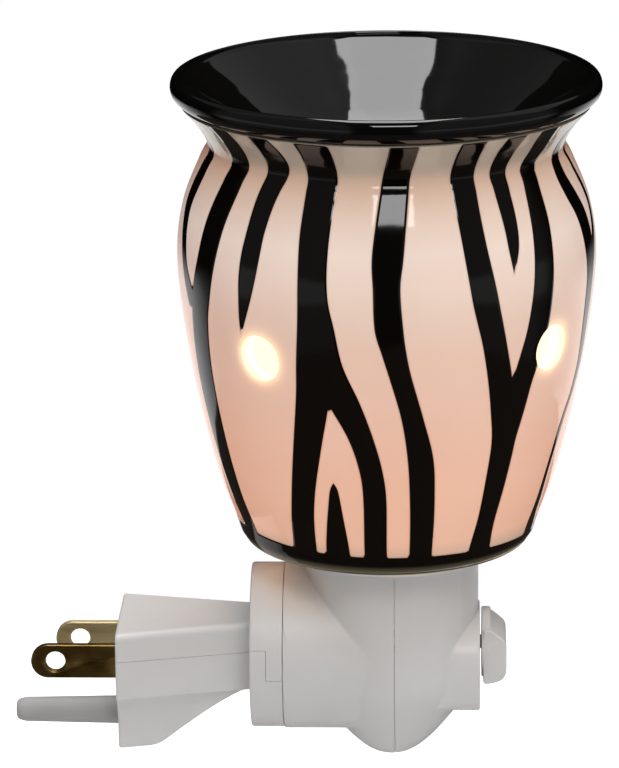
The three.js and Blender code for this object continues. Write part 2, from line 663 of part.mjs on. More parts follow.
// Leads in the base: swivel to switch, swivel to screw shell, and switch to centre contact.
function buildLeads(contacts, terminal, socket) {
  const start = contacts.fingerEnd + restGap;
  const terminalX = axisToFace + terminal.terminalStart - restGap;
  const under = socket.tailEnd - restGap - leadRadius;
  addPart(base, 'hot_lead', wire([
    [start, 0, contacts.ringMiddle], [start + leadSwing * 0.67, -leadSwing / 2, contacts.ringMiddle - leadSwing / 6],
    [axisToFace - leadSwing * 1.33, -leadSwing, 0],
    [terminalX - leadSwing * 0.83, -leadSwing * 0.83, switchRise - leadSwing / 4],
    [terminalX, -terminalSide, switchRise],
  ], leadRadius), blackPlastic);
  addPart(base, 'neutral_lead', wire([
    [start, 0, 0], [start + leadSwing / 2, leadSwing / 4, leadSwing / 12],
    [axisToFace - leadSwing * 1.5, leadSwing / 6, leadSwing * 0.42], [axisToFace - shellTailSide, 0, under],
  ], leadRadius), copperLead);
  addPart(base, 'switched_lead', wire([
    [terminalX, terminalSide, switchRise],
    [terminalX - leadSwing / 2, leadSwing * 0.6, switchRise + leadSwing * 0.13],
    [terminalX - leadSwing * 0.6, leadSwing / 3, leadSwing * 0.53], [axisToFace, 0, under],
  ], leadRadius), blackPlastic);
}

buildPlugShells();
buildBlades();
buildGroundPin();
const contacts = buildSwivelContacts();
buildHousing();
const terminal = buildSwitch();
const socket = buildSeatAndSocket();
buildLamp();
buildJar();
buildDish();
buildLeads(contacts, terminal, socket);

export default model;
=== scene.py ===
# %% [markdown]
# A plug-in wax warmer
#
# The real object is a striped ceramic jar that is lit from inside by a small lamp. A black dish caps it and
# holds scented wax. Below it are a white night-light base with a turn switch and a grounded plug.
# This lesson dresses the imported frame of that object. The frame gives every place and size, so nothing is
# fitted by eye: each piece asks the frame where its solid is, and is built there as a finer surface.

# %% The frame and the units
import math

import bmesh
import bpy
import numpy as np
from mathutils import Matrix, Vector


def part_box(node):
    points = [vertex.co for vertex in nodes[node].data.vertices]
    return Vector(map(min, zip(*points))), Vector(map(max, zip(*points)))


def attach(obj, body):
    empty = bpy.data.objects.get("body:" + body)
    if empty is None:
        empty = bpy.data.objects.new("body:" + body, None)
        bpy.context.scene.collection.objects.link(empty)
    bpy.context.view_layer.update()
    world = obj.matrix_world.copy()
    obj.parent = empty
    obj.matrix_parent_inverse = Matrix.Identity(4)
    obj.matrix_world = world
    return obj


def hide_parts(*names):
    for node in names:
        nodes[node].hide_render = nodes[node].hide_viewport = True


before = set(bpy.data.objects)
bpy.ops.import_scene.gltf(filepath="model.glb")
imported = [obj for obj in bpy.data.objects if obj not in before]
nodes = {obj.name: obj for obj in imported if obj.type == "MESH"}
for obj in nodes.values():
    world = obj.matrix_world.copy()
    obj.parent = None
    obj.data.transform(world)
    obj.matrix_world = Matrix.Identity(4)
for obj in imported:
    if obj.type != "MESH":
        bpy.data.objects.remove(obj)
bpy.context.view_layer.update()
MM = 0.001


def box_mm(node):
    """Lowest and highest corner of a solid, in millimetres."""
    low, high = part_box(node)
    return np.array(low) / MM, np.array(high) / MM


# %% [markdown]
# Surfaces as functions
#
# Nearly every piece here is turned or moulded, so it can be written as a function of two parameters.
# Modelling by hand would also work, but a function gives an exact shape at any fineness, and numpy works it
# out for the whole grid at once. The grid's faces are plain index sums, and the mesh takes both as they are.


# %% From a grid to a mesh
def grid_faces(rows, columns, ring=False):
    """Quads of a grid whose columns close on themselves. With ring, the rows close too."""
    index = np.arange(rows * columns).reshape(rows, columns)
    index = np.hstack([index, index[:, :1]])
    if ring:
        index = np.vstack([index, index[:1]])
    corners = [index[:-1, :-1], index[:-1, 1:], index[1:, 1:], index[1:, :-1]]
    return np.stack(corners, axis=-1).reshape(-1, 4)


def mesh_from(name, points, faces):
    """A mesh from points in millimetres and lists of corners, with doubles merged and faces outwards."""
    mesh = bpy.data.meshes.new(name)
    mesh.from_pydata((np.asarray(points) * MM).tolist(), [], [list(map(int, face)) for face in faces])
    shape = bmesh.new()
    shape.from_mesh(mesh)
    bmesh.ops.remove_doubles(shape, verts=shape.verts, dist=1e-6)
    bmesh.ops.dissolve_degenerate(shape, edges=shape.edges, dist=1e-7)
    bmesh.ops.recalc_face_normals(shape, faces=shape.faces)
    shape.to_mesh(mesh)
    shape.free()
    return mesh


def add_piece(name, mesh, material, body, stands_for=(), sharp=40):
    """An object that rides on a body, with smooth faces except where they meet at more than sharp degrees."""
    mesh.materials.clear()
    mesh.materials.append(material)
    piece = bpy.data.objects.new(name, mesh)
    bpy.context.collection.objects.link(piece)
    mesh.polygons.foreach_set("use_smooth", np.ones(len(mesh.polygons), bool))
    mesh.set_sharp_from_angle(angle=math.radians(sharp))
    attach(piece, body)
    if stands_for:
        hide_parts(*stands_for)
    print(f"{name}: {len(mesh.polygons)} faces")


# %% [markdown]
# Profiles
#
# A moulded or thrown piece has no sharp corner. A profile is drawn here as a few straight lines, and each
# corner is then replaced by a short curve. A bevel on the mesh could do this too, but a rounded profile
# keeps the rows of the grid even, and the highlights run along them without a break.


# %% Rounded profiles and smooth curves
def rounded(corners, radius, steps=5):
    """Each corner P becomes the curve (1-t)^2 A + 2t(1-t) P + t^2 B, with A and B on its two sides."""
    corners = np.asarray(corners, float)
    before = np.roll(corners, 1, axis=0) - corners
    after = np.roll(corners, -1, axis=0) - corners
    to_before = np.linalg.norm(before, axis=1, keepdims=True)
    to_after = np.linalg.norm(after, axis=1, keepdims=True)
    wanted = np.broadcast_to(np.asarray(radius, float), len(corners))[:, None]
    trim = np.minimum(wanted, 0.45 * np.minimum(to_before, to_after))
    start = (corners + before / to_before * trim)[:, None]
    end = (corners + after / to_after * trim)[:, None]
    t = np.linspace(0, 1, steps + 1)[None, :, None]
    curve = (1 - t) ** 2 * start + 2 * t * (1 - t) * corners[:, None] + t**2 * end
    return curve.reshape(-1, 2)


def spaced(points, step, closed=False):
    """The same line with extra points, so that no part of it is longer than step."""
    line = np.vstack([points, points[:1]]) if closed else np.asarray(points, float)
    lengths = np.linalg.norm(np.diff(line, axis=0), axis=1)
    line = line[np.r_[True, lengths > 1e-6]]
    reach = np.r_[0, np.cumsum(np.linalg.norm(np.diff(line, axis=0), axis=1))]
    extra = np.arange(step, reach[-1], step)
    near = np.abs(extra[:, None] - reach[None]).min(axis=1)
    marks = np.union1d(reach, extra[near > step * 0.3])
    result = np.column_stack([np.interp(marks, reach, line[:, k]) for k in range(line.shape[1])])
    return result[:-1] if closed else result


def smooth_curve(points, per_span=24):
    """A Catmull-Rom curve: through every point, heading along the line between its two neighbours."""
    points = np.asarray(points, float)
    first, last = points[:1], points[-1:]
    p0 = np.vstack([first, points[:-2]])[:, None]
    p1, p2 = points[:-1, None], points[1:, None]
    p3 = np.vstack([points[2:], last])[:, None]
    t = np.linspace(0, 1, per_span, endpoint=False)[None, :, None]
    lean_1, lean_2 = (p2 - p0) / 2, (p3 - p1) / 2
    curve = (2 * p1 - 2 * p2 + lean_1 + lean_2) * t**3
    curve = curve + (3 * p2 - 3 * p1 - 2 * lean_1 - lean_2) * t**2 + lean_1 * t + p1
    return np.vstack([curve.reshape(-1, points.shape[1]), last])


def turned(profile, sides, centre=(0, 0, 0), axis="Z", closed=False):
    """Turns (radius r, height h) about an axis: (r cos a, r sin a, h), or (h, r cos a, r sin a) for X."""
    radius, height = np.asarray(profile, float).T[:, :, None]
    angle = np.linspace(0, 2 * np.pi, sides, endpoint=False)[None]
    across, aside, along = radius * np.cos(angle), radius * np.sin(angle), height + 0 * angle
    order = (across, aside, along) if axis == "Z" else (along, across, aside)
    points = np.stack(order, axis=-1).reshape(-1, 3) + np.asarray(centre, float)
    return points, grid_faces(len(profile), sides, ring=closed)


def turned_mesh(name, profile, sides, centre=(0, 0, 0), axis="Z", closed=False):
    """A turned profile as a mesh. Its two ends lie on the axis, or it is closed."""
    return mesh_from(name, *turned(profile, sides, centre, axis, closed))


# %% [markdown]
# Joining and cutting
#
# The plug's halves, the blades and the knob are made as the real ones are: a block, less its slots and holes.
# Blender's Boolean does that exactly on closed meshes. Its result is copied into a plain mesh at once, so
# that no modifier stays on the piece.


# %% One mesh added to or cut from another
def combined(first, second, how):
    """The union, difference or part in common of two closed meshes."""
    holders = []
    for mesh in (first, second):
        holder = bpy.data.objects.new("holder", mesh)
        bpy.context.collection.objects.link(holder)
        holders.append(holder)
    step = holders[0].modifiers.new("combine", "BOOLEAN")
    step.operation = how
    step.solver = "EXACT"
    step.object = holders[1]
    graph = bpy.context.evaluated_depsgraph_get()
    result = bpy.data.meshes.new_from_object(holders[0].evaluated_get(graph))
    for holder in holders:
        bpy.data.objects.remove(holder)
    return result


def brick(low, high):
    """A closed box between two corners, used only to cut."""
    grid = np.array([[x, y, z] for x in (0, 1) for y in (0, 1) for z in (0, 1)], float)
    points = np.asarray(low, float) + grid * (np.asarray(high, float) - np.asarray(low, float))
    faces = [(0, 1, 3, 2), (4, 6, 7, 5), (0, 4, 5, 1), (2, 3, 7, 6), (0, 2, 6, 4), (1, 5, 7, 3)]
    return points, faces


def merged(*shapes):
    """Several separate shapes as one list of points and faces."""
    points, faces, count = [], [], 0
    for shape_points, shape_faces in shapes:
        points.append(np.asarray(shape_points, float))
        faces += [[int(corner) + count for corner in face] for face in shape_faces]
        count += len(shape_points)
    return np.vstack(points), faces


def rod(radius, start, end, sides, centre=(0, 0, 0), axis="X"):
    """A plain cylinder between two places on its axis, used only to cut."""
    return turned([(0, start), (radius, start), (radius, end), (0, end)], sides, centre, axis)


def cut(mesh, *shapes):
    """A mesh less some closed shapes."""
    return combined(mesh, mesh_from("cutter", *merged(*shapes)), "DIFFERENCE")


# %% [markdown]
# Nodes for materials
#
# Every finish is built from nodes, so that it stays sharp at any distance. A small helper puts a node in a
# tree and fills its sockets, either with a value or with a link from another node. It saves many lines and
# keeps each material short enough to read.


# %% A helper that puts nodes in a tree
def fill(tree, socket, value):
    """Links a socket to another node's output, or gives it a value of its own."""
    if isinstance(value, bpy.types.NodeSocket):
        tree.links.new(value, socket)
    else:
        socket.default_value = value


def put(tree, kind, sockets=None, **settings):
    """Adds a node, sets its properties, and fills its inputs with values or links."""
    made = tree.nodes.new("ShaderNode" + kind)
    for name, value in settings.items():
        setattr(made, name, value)
    for name, value in (sockets or {}).items():
        fill(tree, made.inputs[name], value)
    return made


def dress(tree, surface, sockets):
    """Fills the shader's own sockets with values or links."""
    for name, value in sockets.items():
        fill(tree, surface.inputs[name], value)


def maths(tree, operation, first, second=0.0, clamp=False):
    """One step of arithmetic on two values."""
    return put(tree, "Math", {0: first, 1: second}, operation=operation, use_clamp=clamp).outputs[0]


def ramp(tree, value, low, high, start=0.0, end=1.0):
    """A smooth change from start to end as value goes from low to high."""
    sockets = {"Value": value, "From Min": low, "From Max": high, "To Min": start, "To Max": end}
    return put(tree, "MapRange", sockets, interpolation_type="SMOOTHSTEP").outputs["Result"]


def colour_steps(tree, value, stops):
    """A colour that runs through the stops, each a value and the colour there."""
    spots = [spot for spot, _ in stops]
    along = put(tree, "MapRange", {"Value": value, "From Min": spots[0], "From Max": spots[-1]})
    steps = put(tree, "ValToRGB", {0: along.outputs["Result"]})
    while len(steps.color_ramp.elements) < len(stops):
        steps.color_ramp.elements.new(0.5)
    for element, (spot, colour) in zip(steps.color_ramp.elements, stops):
        element.position = (spot - spots[0]) / (spots[-1] - spots[0])
        element.color = rgb(*colour)
    return steps.outputs["Color"]


def blend_colours(tree, share, first, second):
    """A mix of two colours, the first at share 0. The Mix node has colours in sockets 6 and 7 and out 2."""
    return put(tree, "Mix", {0: share, 6: first, 7: second}, data_type="RGBA").outputs[2]


def scaled(tree, colour, share):
    """A colour times a value."""
    return put(tree, "VectorMath", {0: colour, "Scale": share}, operation="SCALE").outputs["Vector"]


def added(tree, first, second):
    """The sum of two colours."""
    return put(tree, "VectorMath", {0: first, 1: second}, operation="ADD").outputs["Vector"]


def rgb(red, green, blue):
    """A colour for a socket, from three linear shares."""
    return (red, green, blue, 1.0)


def new_group(name, inputs, outputs):
    """A node group with named inputs (kind, default) and outputs (kind)."""
    group = bpy.data.node_groups.new(name, "ShaderNodeTree")
    for label, (kind, default) in inputs.items():
        socket = group.interface.new_socket(label, in_out="INPUT", socket_type="NodeSocket" + kind)
        if default is not None:
            socket.default_value = default
    for label, kind in outputs.items():
        group.interface.new_socket(label, in_out="OUTPUT", socket_type="NodeSocket" + kind)
    return group, group.nodes.new("NodeGroupInput").outputs, group.nodes.new("NodeGroupOutput").inputs


def new_material(name):
    """A material with its Principled BSDF and Object coordinates."""
    material = bpy.data.materials.new(name)
    material.use_nodes = True
    tree = material.node_tree
    surface = tree.nodes["Principled BSDF"]
    place = put(tree, "TexCoord").outputs["Object"]
    return material, tree, surface, place


def use_group(tree, group, sockets):
    """Places a group in a material with its own values."""
    return put(tree, "Group", sockets, node_tree=group).outputs


def bump(tree, height, depth):
    """A Bump node: depth is the height of a full step, in metres."""
    return put(tree, "Bump", {"Height": height, "Distance": depth}).outputs["Normal"]


def noise(tree, place, scale, detail=2.0):
    """Soft random values at a scale in waves to the metre."""
    return put(tree, "TexNoise", {"Vector": place, "Scale": scale, "Detail": detail}).outputs[0]


# %% [markdown]
# Effects that several finishes share
#
# Three small groups carry the detail that repeats: the faint grain and flow of moulded plastic, the slow
# ripple of fired glaze, and the fine streaks of brushed metal. Each gives values only, and each material
# sets its own strength. Noise on Object coordinates never stretches, because no piece here is unwrapped.

# %% Moulded grain
grain_group, grain_in, grain_out = new_group(
    "moulded_grain",
    {"Vector": ("Vector", None), "Grain Scale": ("Float", 2600.0), "Flow Scale": ("Float", 60.0)},
    {"Height": "Float", "Patches": "Float"},
)
fine = noise(grain_group, grain_in["Vector"], grain_in["Grain Scale"])
flow = noise(grain_group, grain_in["Vector"], grain_in["Flow Scale"], 3.0)
grain_group.links.new(fine, grain_out["Height"])
grain_group.links.new(ramp(grain_group, flow, 0.35, 0.65), grain_out["Patches"])

# %% Glaze ripple
ripple_group, ripple_in, ripple_out = new_group(
    "glaze_ripple",
    {"Vector": ("Vector", None), "Ripple Scale": ("Float", 90.0), "Pit Scale": ("Float", 420.0)},
    {"Height": "Float", "Pits": "Float"},
)
slow = noise(ripple_group, ripple_in["Vector"], ripple_in["Ripple Scale"], 1.5)
dots = put(ripple_group, "TexVoronoi", {"Vector": ripple_in["Vector"], "Scale": ripple_in["Pit Scale"]})
pits = ramp(ripple_group, dots.outputs["Distance"], 0.02, 0.09, 1.0, 0.0)
rare = noise(ripple_group, ripple_in["Vector"], 130.0)
few_pits = maths(ripple_group, "MULTIPLY", pits, ramp(ripple_group, rare, 0.62, 0.68))
ripple_group.links.new(slow, ripple_out["Height"])
ripple_group.links.new(few_pits, ripple_out["Pits"])

# %% Brushed streaks
brush_group, brush_in, brush_out = new_group(
    "brushed_streaks",
    {"Vector": ("Vector", None), "Along X": ("Float", 60.0), "Across": ("Float", 2400.0)},
    {"Streaks": "Float", "Tarnish": "Float"},
)
parts = put(brush_group, "SeparateXYZ", {0: brush_in["Vector"]})
stretched = put(brush_group, "CombineXYZ", {
    letter: maths(brush_group, "MULTIPLY", parts.outputs[letter], brush_in[stretch])
    for letter, stretch in (("X", "Along X"), ("Y", "Across"), ("Z", "Across"))
})
streaks = noise(brush_group, stretched.outputs[0], 1.0, 3.0)
stain = noise(brush_group, brush_in["Vector"], 260.0, 4.0)
brush_group.links.new(streaks, brush_out["Streaks"])
brush_group.links.new(ramp(brush_group, stain, 0.42, 0.68), brush_out["Tarnish"])
print("groups:", [group.name for group in bpy.data.node_groups])

# %% [markdown]
# Plastics
#
# The base is white plastic with a satin face. A single grey would look like paint, so two whites drift into
# each other, the roughness drifts with them, and a grain of about a hundredth of a millimetre breaks up the
# highlight. The pin is a duller plastic, and the lamp holder and the leads have their own.


# %% White, grey and dull plastics
def plastic(name, light, dark, roughness, grain_depth):
    """Moulded plastic between two close colours."""
    material, tree, surface, place = new_material(name)
    grain = use_group(tree, grain_group, {"Vector": place})
    dress(tree, surface, {
        "Base Color": blend_colours(tree, grain["Patches"], rgb(*light), rgb(*dark)),
        "Roughness": ramp(tree, grain["Patches"], 0, 1, roughness, roughness + 0.07),
        "Normal": bump(tree, grain["Height"], grain_depth),
        "Specular IOR Level": 0.45,
    })
    return material


white_plastic = plastic("white_plastic", (0.70, 0.685, 0.675), (0.675, 0.66, 0.645), 0.32, 0.000012)
pin_plastic = plastic("pin_plastic", (0.43, 0.42, 0.42), (0.39, 0.38, 0.38), 0.5, 0.00002)
insulator = plastic("insulator", (0.60, 0.50, 0.33), (0.50, 0.40, 0.25), 0.55, 0.00003)
lead_cover = plastic("lead_cover", (0.03, 0.03, 0.03), (0.015, 0.015, 0.016), 0.5, 0.00002)

# %% [markdown]
# Brass
#
# The blades are cut from rolled brass strip, so fine streaks run along them, and handling leaves browner
# stains. The streaks vary the roughness as well as the colour, which is what makes rolled metal glitter.
# The two blades are the same brass, but the front one is coloured darker, a painted shade, and the rear one
# lighter, a painted reflection of a pale side of the room.


# %% Rolled brass
def metal(name, bright, stained, roughness, streak_depth):
    """Streaked metal with stains."""
    material, tree, surface, place = new_material(name)
    brushed = use_group(tree, brush_group, {"Vector": place})
    base = blend_colours(tree, brushed["Tarnish"], rgb(*bright), rgb(*stained))
    share = ramp(tree, brushed["Streaks"], 0.3, 0.7, 0.0, 0.35)
    dress(tree, surface, {
        "Base Color": blend_colours(tree, share, base, rgb(*stained)),
        "Roughness": ramp(tree, brushed["Streaks"], 0.3, 0.7, roughness, roughness + 0.16),
        "Normal": bump(tree, brushed["Streaks"], streak_depth),
        "Metallic": 1.0,
    })
    return material


# The first brass is coloured darker, as painted shade, and also serves the inner contacts; the second is the
# same brass coloured lighter, as painted reflection, for the rear blade.
brass = metal("brass", (0.42, 0.28, 0.09), (0.24, 0.15, 0.04), 0.26, 0.00001)
lit_brass = metal("lit_brass", (1.0, 0.86, 0.52), (0.92, 0.76, 0.42), 0.5, 0.000006)
lamp_brass = metal("lamp_brass", (0.72, 0.55, 0.24), (0.52, 0.36, 0.12), 0.2, 0.000006)

# %% [markdown]
# Black glaze
#
# Fired black glaze is a thin coat of dark glass. Its colour is almost nothing: what we see in it is the room.
# So the colour stays close to black, the roughness is low, and a slow ripple bends the reflections a little,
# with a rare pit here and there. The dish has it, and so do the stripes of the jar.

# %% The dish's glaze
dish_glaze, tree, surface, place = new_material("black_glaze")
ripple = use_group(tree, ripple_group, {"Vector": place})
dimples = maths(tree, "SUBTRACT", ripple["Height"], maths(tree, "MULTIPLY", ripple["Pits"], 0.1))
dress(tree, surface, {
    "Base Color": rgb(0.003, 0.0028, 0.0026),
    "Roughness": ramp(tree, ripple["Pits"], 0, 1, 0.045, 0.3),
    "Normal": bump(tree, dimples, 0.00022),
    "IOR": 1.6,
})

# %% [markdown]
# The jar's glaze
#
# The jar is pale, lets some of the lamp's light through, and carries black brush strokes. Five values are
# worked out at each point of its mesh: how far the point is from the edge of a stripe, how much of the lamp's
# light comes through there, a painted glow round the vents and in them, a painted glow on the inside face,
# and whether it is on the bare ring under the foot, which is unglazed and also carries a painted glow. The
# material reads them as attributes, so stripes and glow follow the surface wherever the jar goes. A painted
# picture would blur, and these never do.

# %% The jar's place
jar_low, jar_high = box_mm("ceramic_jar")
jar_x, jar_y = (jar_low[:2] + jar_high[:2]) / 2
jar_foot = jar_low[2]
jar_height = jar_high[2] - jar_foot

# %% The jar's glaze
jar_glaze, tree, surface, place = new_material("striped_glaze")
stripe_at, glow_at, vent_glow_at, inner_glow_at, bare_and_glow_at = (
    put(tree, "Attribute", attribute_name=name).outputs["Fac"]
    for name in ("stripe_mm", "glow", "vent_light", "inside", "bare_and_glow")
)
ripple = use_group(tree, ripple_group, {"Vector": place})
cloud = ramp(tree, noise(tree, place, 34.0), 0.35, 0.65)
black = ramp(tree, stripe_at, 0.07, -0.07)
brown_edge = maths(tree, "MULTIPLY", ramp(tree, stripe_at, 0.42, 0.02), 0.45)
cream = blend_colours(tree, cloud, rgb(0.61, 0.51, 0.41), rgb(0.58, 0.475, 0.375))
edged = blend_colours(tree, brown_edge, cream, rgb(0.34, 0.19, 0.11))
glazed = blend_colours(tree, black, edged, rgb(0.002, 0.0017, 0.0014))
shine = ramp(tree, ripple["Pits"], 0, 1, 0.07, 0.3)
relief = maths(tree, "MULTIPLY", ramp(tree, stripe_at, 0.3, -0.45), 0.8)
dress(tree, surface, {
    "Base Color": blend_colours(tree, bare_and_glow_at, glazed, rgb(0.62, 0.56, 0.48)),
    "Roughness": maths(tree, "MAXIMUM", shine, maths(tree, "MULTIPLY", bare_and_glow_at, 0.7)),
    "Normal": bump(tree, maths(tree, "ADD", relief, ripple["Height"]), 0.00016),
    "IOR": 1.5,
})

# %% The light that comes through the jar
GLOW_STOPS = [(8, (0.43, 0.15, 0.08)), (20, (0.43, 0.15, 0.085)), (45, (0.41, 0.215, 0.17)),
              (62, (0.46, 0.36, 0.34)), (73, (0.29, 0.13, 0.08))]
height_at = put(tree, "SeparateXYZ", {0: place}).outputs["Z"]
wall_glow = colour_steps(tree, height_at, [((jar_foot + up) * MM, colour) for up, colour in GLOW_STOPS])
pale_share = maths(tree, "SUBTRACT", 1.0, maths(tree, "MULTIPLY", black, 0.997))
# The lamp's light through the wall, plus a painted glow round the vents and in their tunnels; the black
# stripes hold both back.
through = added(tree, scaled(tree, wall_glow, glow_at), scaled(tree, (1.0, 0.72, 0.34), vent_glow_at))
# Painted light: the inside face glows as if lit by the lamp, and the bare ring under the foot gives off a
# warm painted glow that lights the base beneath the jar.
hidden_glow = added(tree, scaled(tree, (1.1, 0.95, 0.57), inner_glow_at), scaled(tree, (1.15, 0.62, 0.32), bare_and_glow_at))
all_light = added(tree, scaled(tree, through, pale_share), hidden_glow)
dress(tree, surface, {"Emission Color": all_light, "Emission Strength": 1.0})

# %% [markdown]
# Glass and glowing wire
#
# The lamp is a small clear bulb. Clear glass is a plain transmission of one, and the wire inside gives off
# light. The bulb is seen through the vents and when the jar is lifted away.

# %% Lamp glass and filament
clear_glass, tree, surface, place = new_material("lamp_glass")
ripple = use_group(tree, ripple_group, {"Vector": place, "Ripple Scale": 160.0})
dress(tree, surface, {
    "Base Color": rgb(1.0, 0.97, 0.9),
    "Transmission Weight": 1.0,
    "IOR": 1.46,
    "Roughness": ramp(tree, ripple["Pits"], 0, 1, 0.02, 0.12),
    "Normal": bump(tree, ripple["Height"], 0.00006),
})

glowing_wire, tree, surface, place = new_material("glowing_wire")
coils = put(tree, "TexWave", {"Vector": place, "Scale": 900.0}, bands_direction="Z").outputs["Fac"]
dress(tree, surface, {
    "Base Color": rgb(0.4, 0.36, 0.3),
    "Roughness": ramp(tree, coils, 0, 1, 0.3, 0.5),
    "Emission Color": blend_colours(tree, coils, rgb(1.0, 0.46, 0.14), rgb(1.0, 0.78, 0.42)),
    "Emission Strength": 6.0,
})
print("materials:", len(bpy.data.materials))

# %% [markdown]
# The jar's wall
#
# The real jar is slip-cast: one curve turned about an axis, about 3 mm thick, with four round vents. Its
# wall is a grid of azimuth by height, outside and inside alike. A Boolean could drill the vents, but it
# leaves thin, uneven faces round them that show in the gloss. Here the cells of the grid that lie in a vent
# are left out, the points round the gap are moved onto the vent's circle, and a rounded tunnel joins the
# two gaps.

# %% The jar's curve
WALL, LIP_WALL, FLOOR = 3.2, 1.9, 3.0
HOLE_RADIUS, FOOT_RADIUS, EDGE_RADIUS, BAND_RADIUS = 16.6, 25.6, 27.0, 28.1
BELLY_RADIUS, NECK_RADIUS, LIP_RADIUS = 37.7, 32.05, 36.9
NECK_SHARE, LIP_ROUND = 0.912, 0.3


def swell(share):
    """Radius between the band above the foot and the belly."""
    return BAND_RADIUS + (BELLY_RADIUS - BAND_RADIUS) * share


outer_curve = smooth_curve([
    (EDGE_RADIUS, 0.027), (BAND_RADIUS, 0.068), (swell(0.29), 0.165), (swell(0.62), 0.325),
    (swell(0.88), 0.5), (BELLY_RADIUS, 0.66), (BELLY_RADIUS - 1.2, 0.775), (NECK_RADIUS + 1.4, 0.872),
    (NECK_RADIUS, NECK_SHARE), (NECK_RADIUS + 2, 0.96), (LIP_RADIUS, 1.0),
]) * (1, jar_height)
outer_curve = spaced(outer_curve, 0.25)
curve_reach = np.r_[0, np.cumsum(np.linalg.norm(np.diff(outer_curve, axis=0), axis=1))]
ROWS, COLUMNS = 124, 312
even_reach = np.linspace(0, curve_reach[-1], ROWS)
wall_radius = np.interp(even_reach, curve_reach, outer_curve[:, 0])
wall_height = np.minimum(np.interp(even_reach, curve_reach, outer_curve[:, 1]), jar_height - LIP_ROUND)


def radius_at(height):
    """Outer radius of the jar at a height above its foot."""
    return np.interp(height, outer_curve[:, 1], outer_curve[:, 0])


def wall_at(height):
    """The wall's thickness at a height: it thins evenly from the neck to the lip."""
    return np.interp(height / jar_height, (NECK_SHARE, 1.0), (WALL, LIP_WALL))


print(f"jar: {jar_height:.1f} mm high, {2 * BELLY_RADIUS:.1f} mm across, rows every {even_reach[1]:.2f} mm")

# %% [markdown]
# The stripes
#
# Each stripe is a brush stroke from rim to foot, given by a few points: how far round from the front, how
# high, and how wide. A smooth curve runs through them. For any point of the jar, the distance to the
# stroke's edge is then the distance to its middle line, less half its width. The smallest such distance
# over all the strokes says where the black is, and two strokes that meet make a fork.

